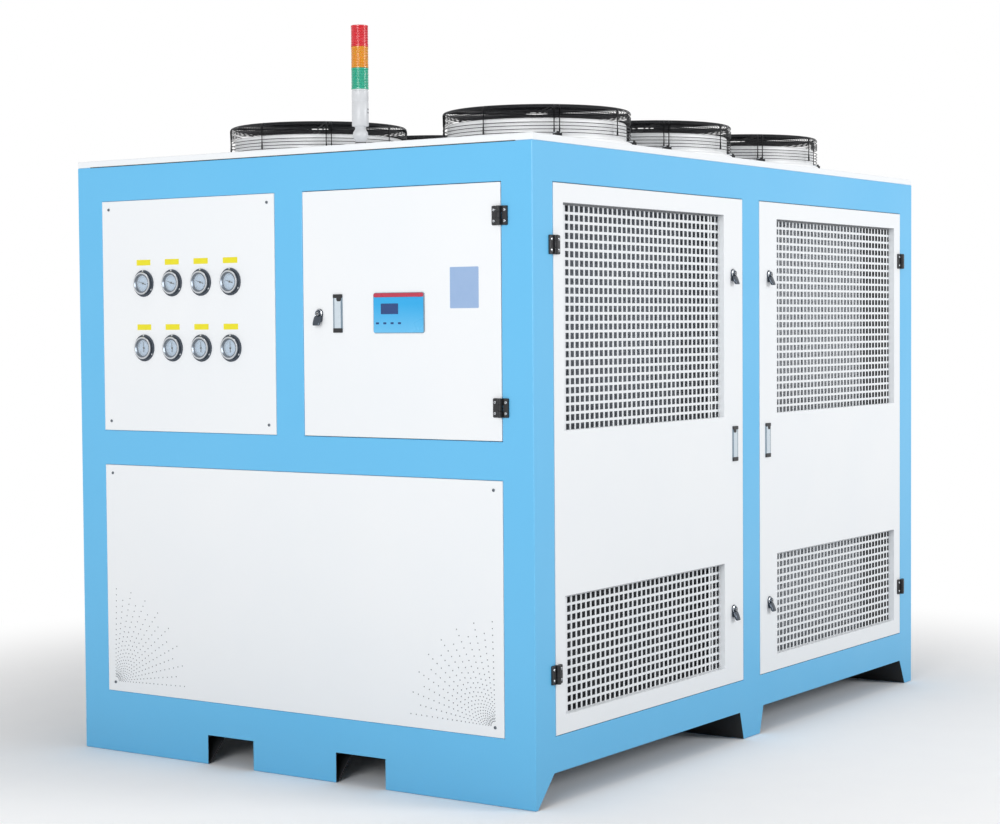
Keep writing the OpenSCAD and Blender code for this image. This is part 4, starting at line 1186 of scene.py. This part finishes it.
# %% Gauges, dials and strips
GAUGE_X, GAUGE_STEP = -(OPEN_X + STILE) / 2, 128.5
GAUGES = {"low": (UPPER + 281, 92), "high": (UPPER + 498, 163)}
FLANGE = [(0, 0), (45, 0), (45, 2.6), (44, 3.8), (41, 4.4), (38.6, 4.8), (38.2, 9), (37.0, 11.8)]
BEZEL = [(37.0, 11.8), (36.4, 12.8), (34.5, 13.6), (32, 13.2)]
WELL = [(32, 13.2), (29, 11.4), (27.6, 10.6), (27.4, 2.0), (0, 2.0)]
TICKS, TICK_R = 25, 24.5
POINTER = ((-14, -1.5), (20, -0.5), (20, 0.5), (-14, 1.5))
rims, cards, strips = Pile(), Pile(), Pile()
for z, reading in GAUGES.values():
    for k in range(4):
        at = on_front(GAUGE_X + (k - 1.5) * GAUGE_STEP, z)
        # Three tones of chrome paint the reflections: dark flange, bright bezel, grey well.
        for profile, finish in ((FLANGE, BLACK_CHROME), (BEZEL, CHROME), (WELL, SHADED_CHROME)):
            rims.add(lathe(profile, 64), finish, at)
        for a in (90, 210, 330):
            screw(rims, moved(at, *polar(41.6, a), 4.0), 3.4, CHROME, False)
        cards.add(lathe([(0, 2.1), (27.2, 2.1), (27.2, 3.3), (0, 3.3)], 48), DIAL_CARD, at)
        for n in range(TICKS):
            inner = TICK_R - (3.0 if n % 4 else 5.5)
            tick = block((inner, -0.4, 3.2), (TICK_R, 0.4, 3.45))
            cards.add(tick, DARK_INK, spun(at, 225 - 270 * n / (TICKS - 1)))
        cards.add(plate(POINTER, 4.4, 5.0), BLACK_NYLON, spun(at, reading))
        cards.add(lathe([(3.4, 3.3), (3.4, 5.3), (2.4, 5.7), (0, 5.7)], 20), BLACK_NYLON, at)
        cards.add(lathe([(0, 9.2), (27.3, 9.2), (27.3, 9.6), (0, 9.6)], 48), GLASS, at)
        strips.add(plate(rounded(63, 19, 1.5), 0, 0.4, 0.1), YELLOW_VINYL, moved(at, 0, 70, 0))
rims.piece("gauge_rims", "cabinet", "chrome", ("pressure_gauges",))
cards.piece("gauge_faces", "cabinet", "dial_face", ("gauge_dials",))
strips.piece("gauge_strips", "cabinet", "dial_face")
print("gauges made")

# %% [markdown]
# ## Signal tower
# A grey pivot and body with three ribbed lenses. The ribs are turned into the profile; they catch the
# light as fine level lines and blur the lamp inside.

# %% Signal tower
lo, hi = span("tower_green_lens")
TOWER = Matrix.Translation(((lo[0] + hi[0]) / 2, (lo[1] + hi[1]) / 2, 0))
LENS_H, LENS_R, LENS_Z = hi[2] - lo[2], 27.5, lo[2]
BODY_Z, BODY_R, RIBS = LENS_Z - 116, 26.5, 11
stem = lifted(ROOF, (0, 0), (24, 0), (24, 4), (17, 7), (15, 12), (18, 18), (23, 26), (24.5, 34), (23, 43),
              (18, 51), (16, 55))
stem += lifted(BODY_Z, (19, 0), (25.5, 0), (BODY_R, 2), (BODY_R, 76), (25.5, 77.5), (25.5, 79),
               (BODY_R, 80.5))
stem += lifted(LENS_Z, (BODY_R, -6), (25, -5), (25, 0), (0, 0))
tower = Pile().add(lathe(stem, 48), PALE_ABS, TOWER)
for z in (ROOF + 9, ROOF + 60):
    joint = lifted(z, (17.4, 0), (17.4, 2.4), (15, 2.4), (15, 0))
    tower.add(lathe(joint, 32, ring=True), BLACK_NYLON, TOWER)
for z in (BODY_Z + 40, BODY_Z + 50):
    tower.add(block((25.5, -4, z), (26.9, 4, z + 5)), DARK_INK, spun(TOWER, 16))
tower.piece("tower_stem", "cabinet", "grey_plastic", ("tower_base",))
for tier, (colour, plastic) in enumerate((("green", GREEN_LENS), ("amber", AMBER_LENS), ("red", RED_LENS))):
    z0 = LENS_Z + tier * LENS_H
    profile = lifted(z0, (0, 0), (26, 0), (LENS_R, 1), (LENS_R, 5))
    for k in range(RIBS):
        profile += lifted(z0 + 6 + k * 5.0, (LENS_R - 1.5, 0), (LENS_R - 0.2, 1.6), (LENS_R - 0.2, 3.0),
                          (LENS_R - 1.5, 4.6))
    profile += lifted(z0 + LENS_H, (LENS_R, -4.5), (LENS_R, -1), (26, 0), (0, 0))
    lens = Pile().add(lathe(profile, 56), plastic, TOWER)
    lens.piece(f"{colour}_ribbed_lens", "cabinet", f"{colour}_lens", (f"tower_{colour}_lens",))
print("tower made")

# %% [markdown]
# ## Water ports and the inside
# The rear carries two threaded stainless sockets on bolted flanges. Inside, the electric box and the
# floor pan keep their CAD shape and take a galvanised finish.

# %% Ports, box and pan
PORT_X, PORT_Z, FLANGE_T = 310, 480, 10
socket = [(38, 0), (75, 0), (75, 8.5), (73.5, FLANGE_T), (56, FLANGE_T), (53, 11.5)]
for k in range(6):
    socket += lifted(12.5 + k * 2.6, (50, 0), (52, 1.3))
socket += [(50, 28.5), (48.5, 30), (40, 30), (38.6, 28.6)]
for k in range(8):
    socket += lifted(27 - k * 3.2, (38.0, 0), (39.4, -1.6))
ports = Pile()
for x in (-PORT_X, PORT_X):
    at = on_rear(x, PORT_Z)
    ports.add(lathe(socket, 64, ring=True), STAINLESS, at)
    for k in range(6):
        ports.add(plate(circle(6.5, 6), 0, 4.5, 0.8), ZINC_DARK, moved(at, *polar(65, 60 * k + 30), FLANGE_T))
ports.piece("water_port_sockets", "cabinet", "stainless_steel", ("water_ports",))
for node in ("electric_box", "floor_pan"):
    data = frame["nodes"][node].data
    data.materials.clear()
    data.materials.append(GALVANISED)
print("ports made")
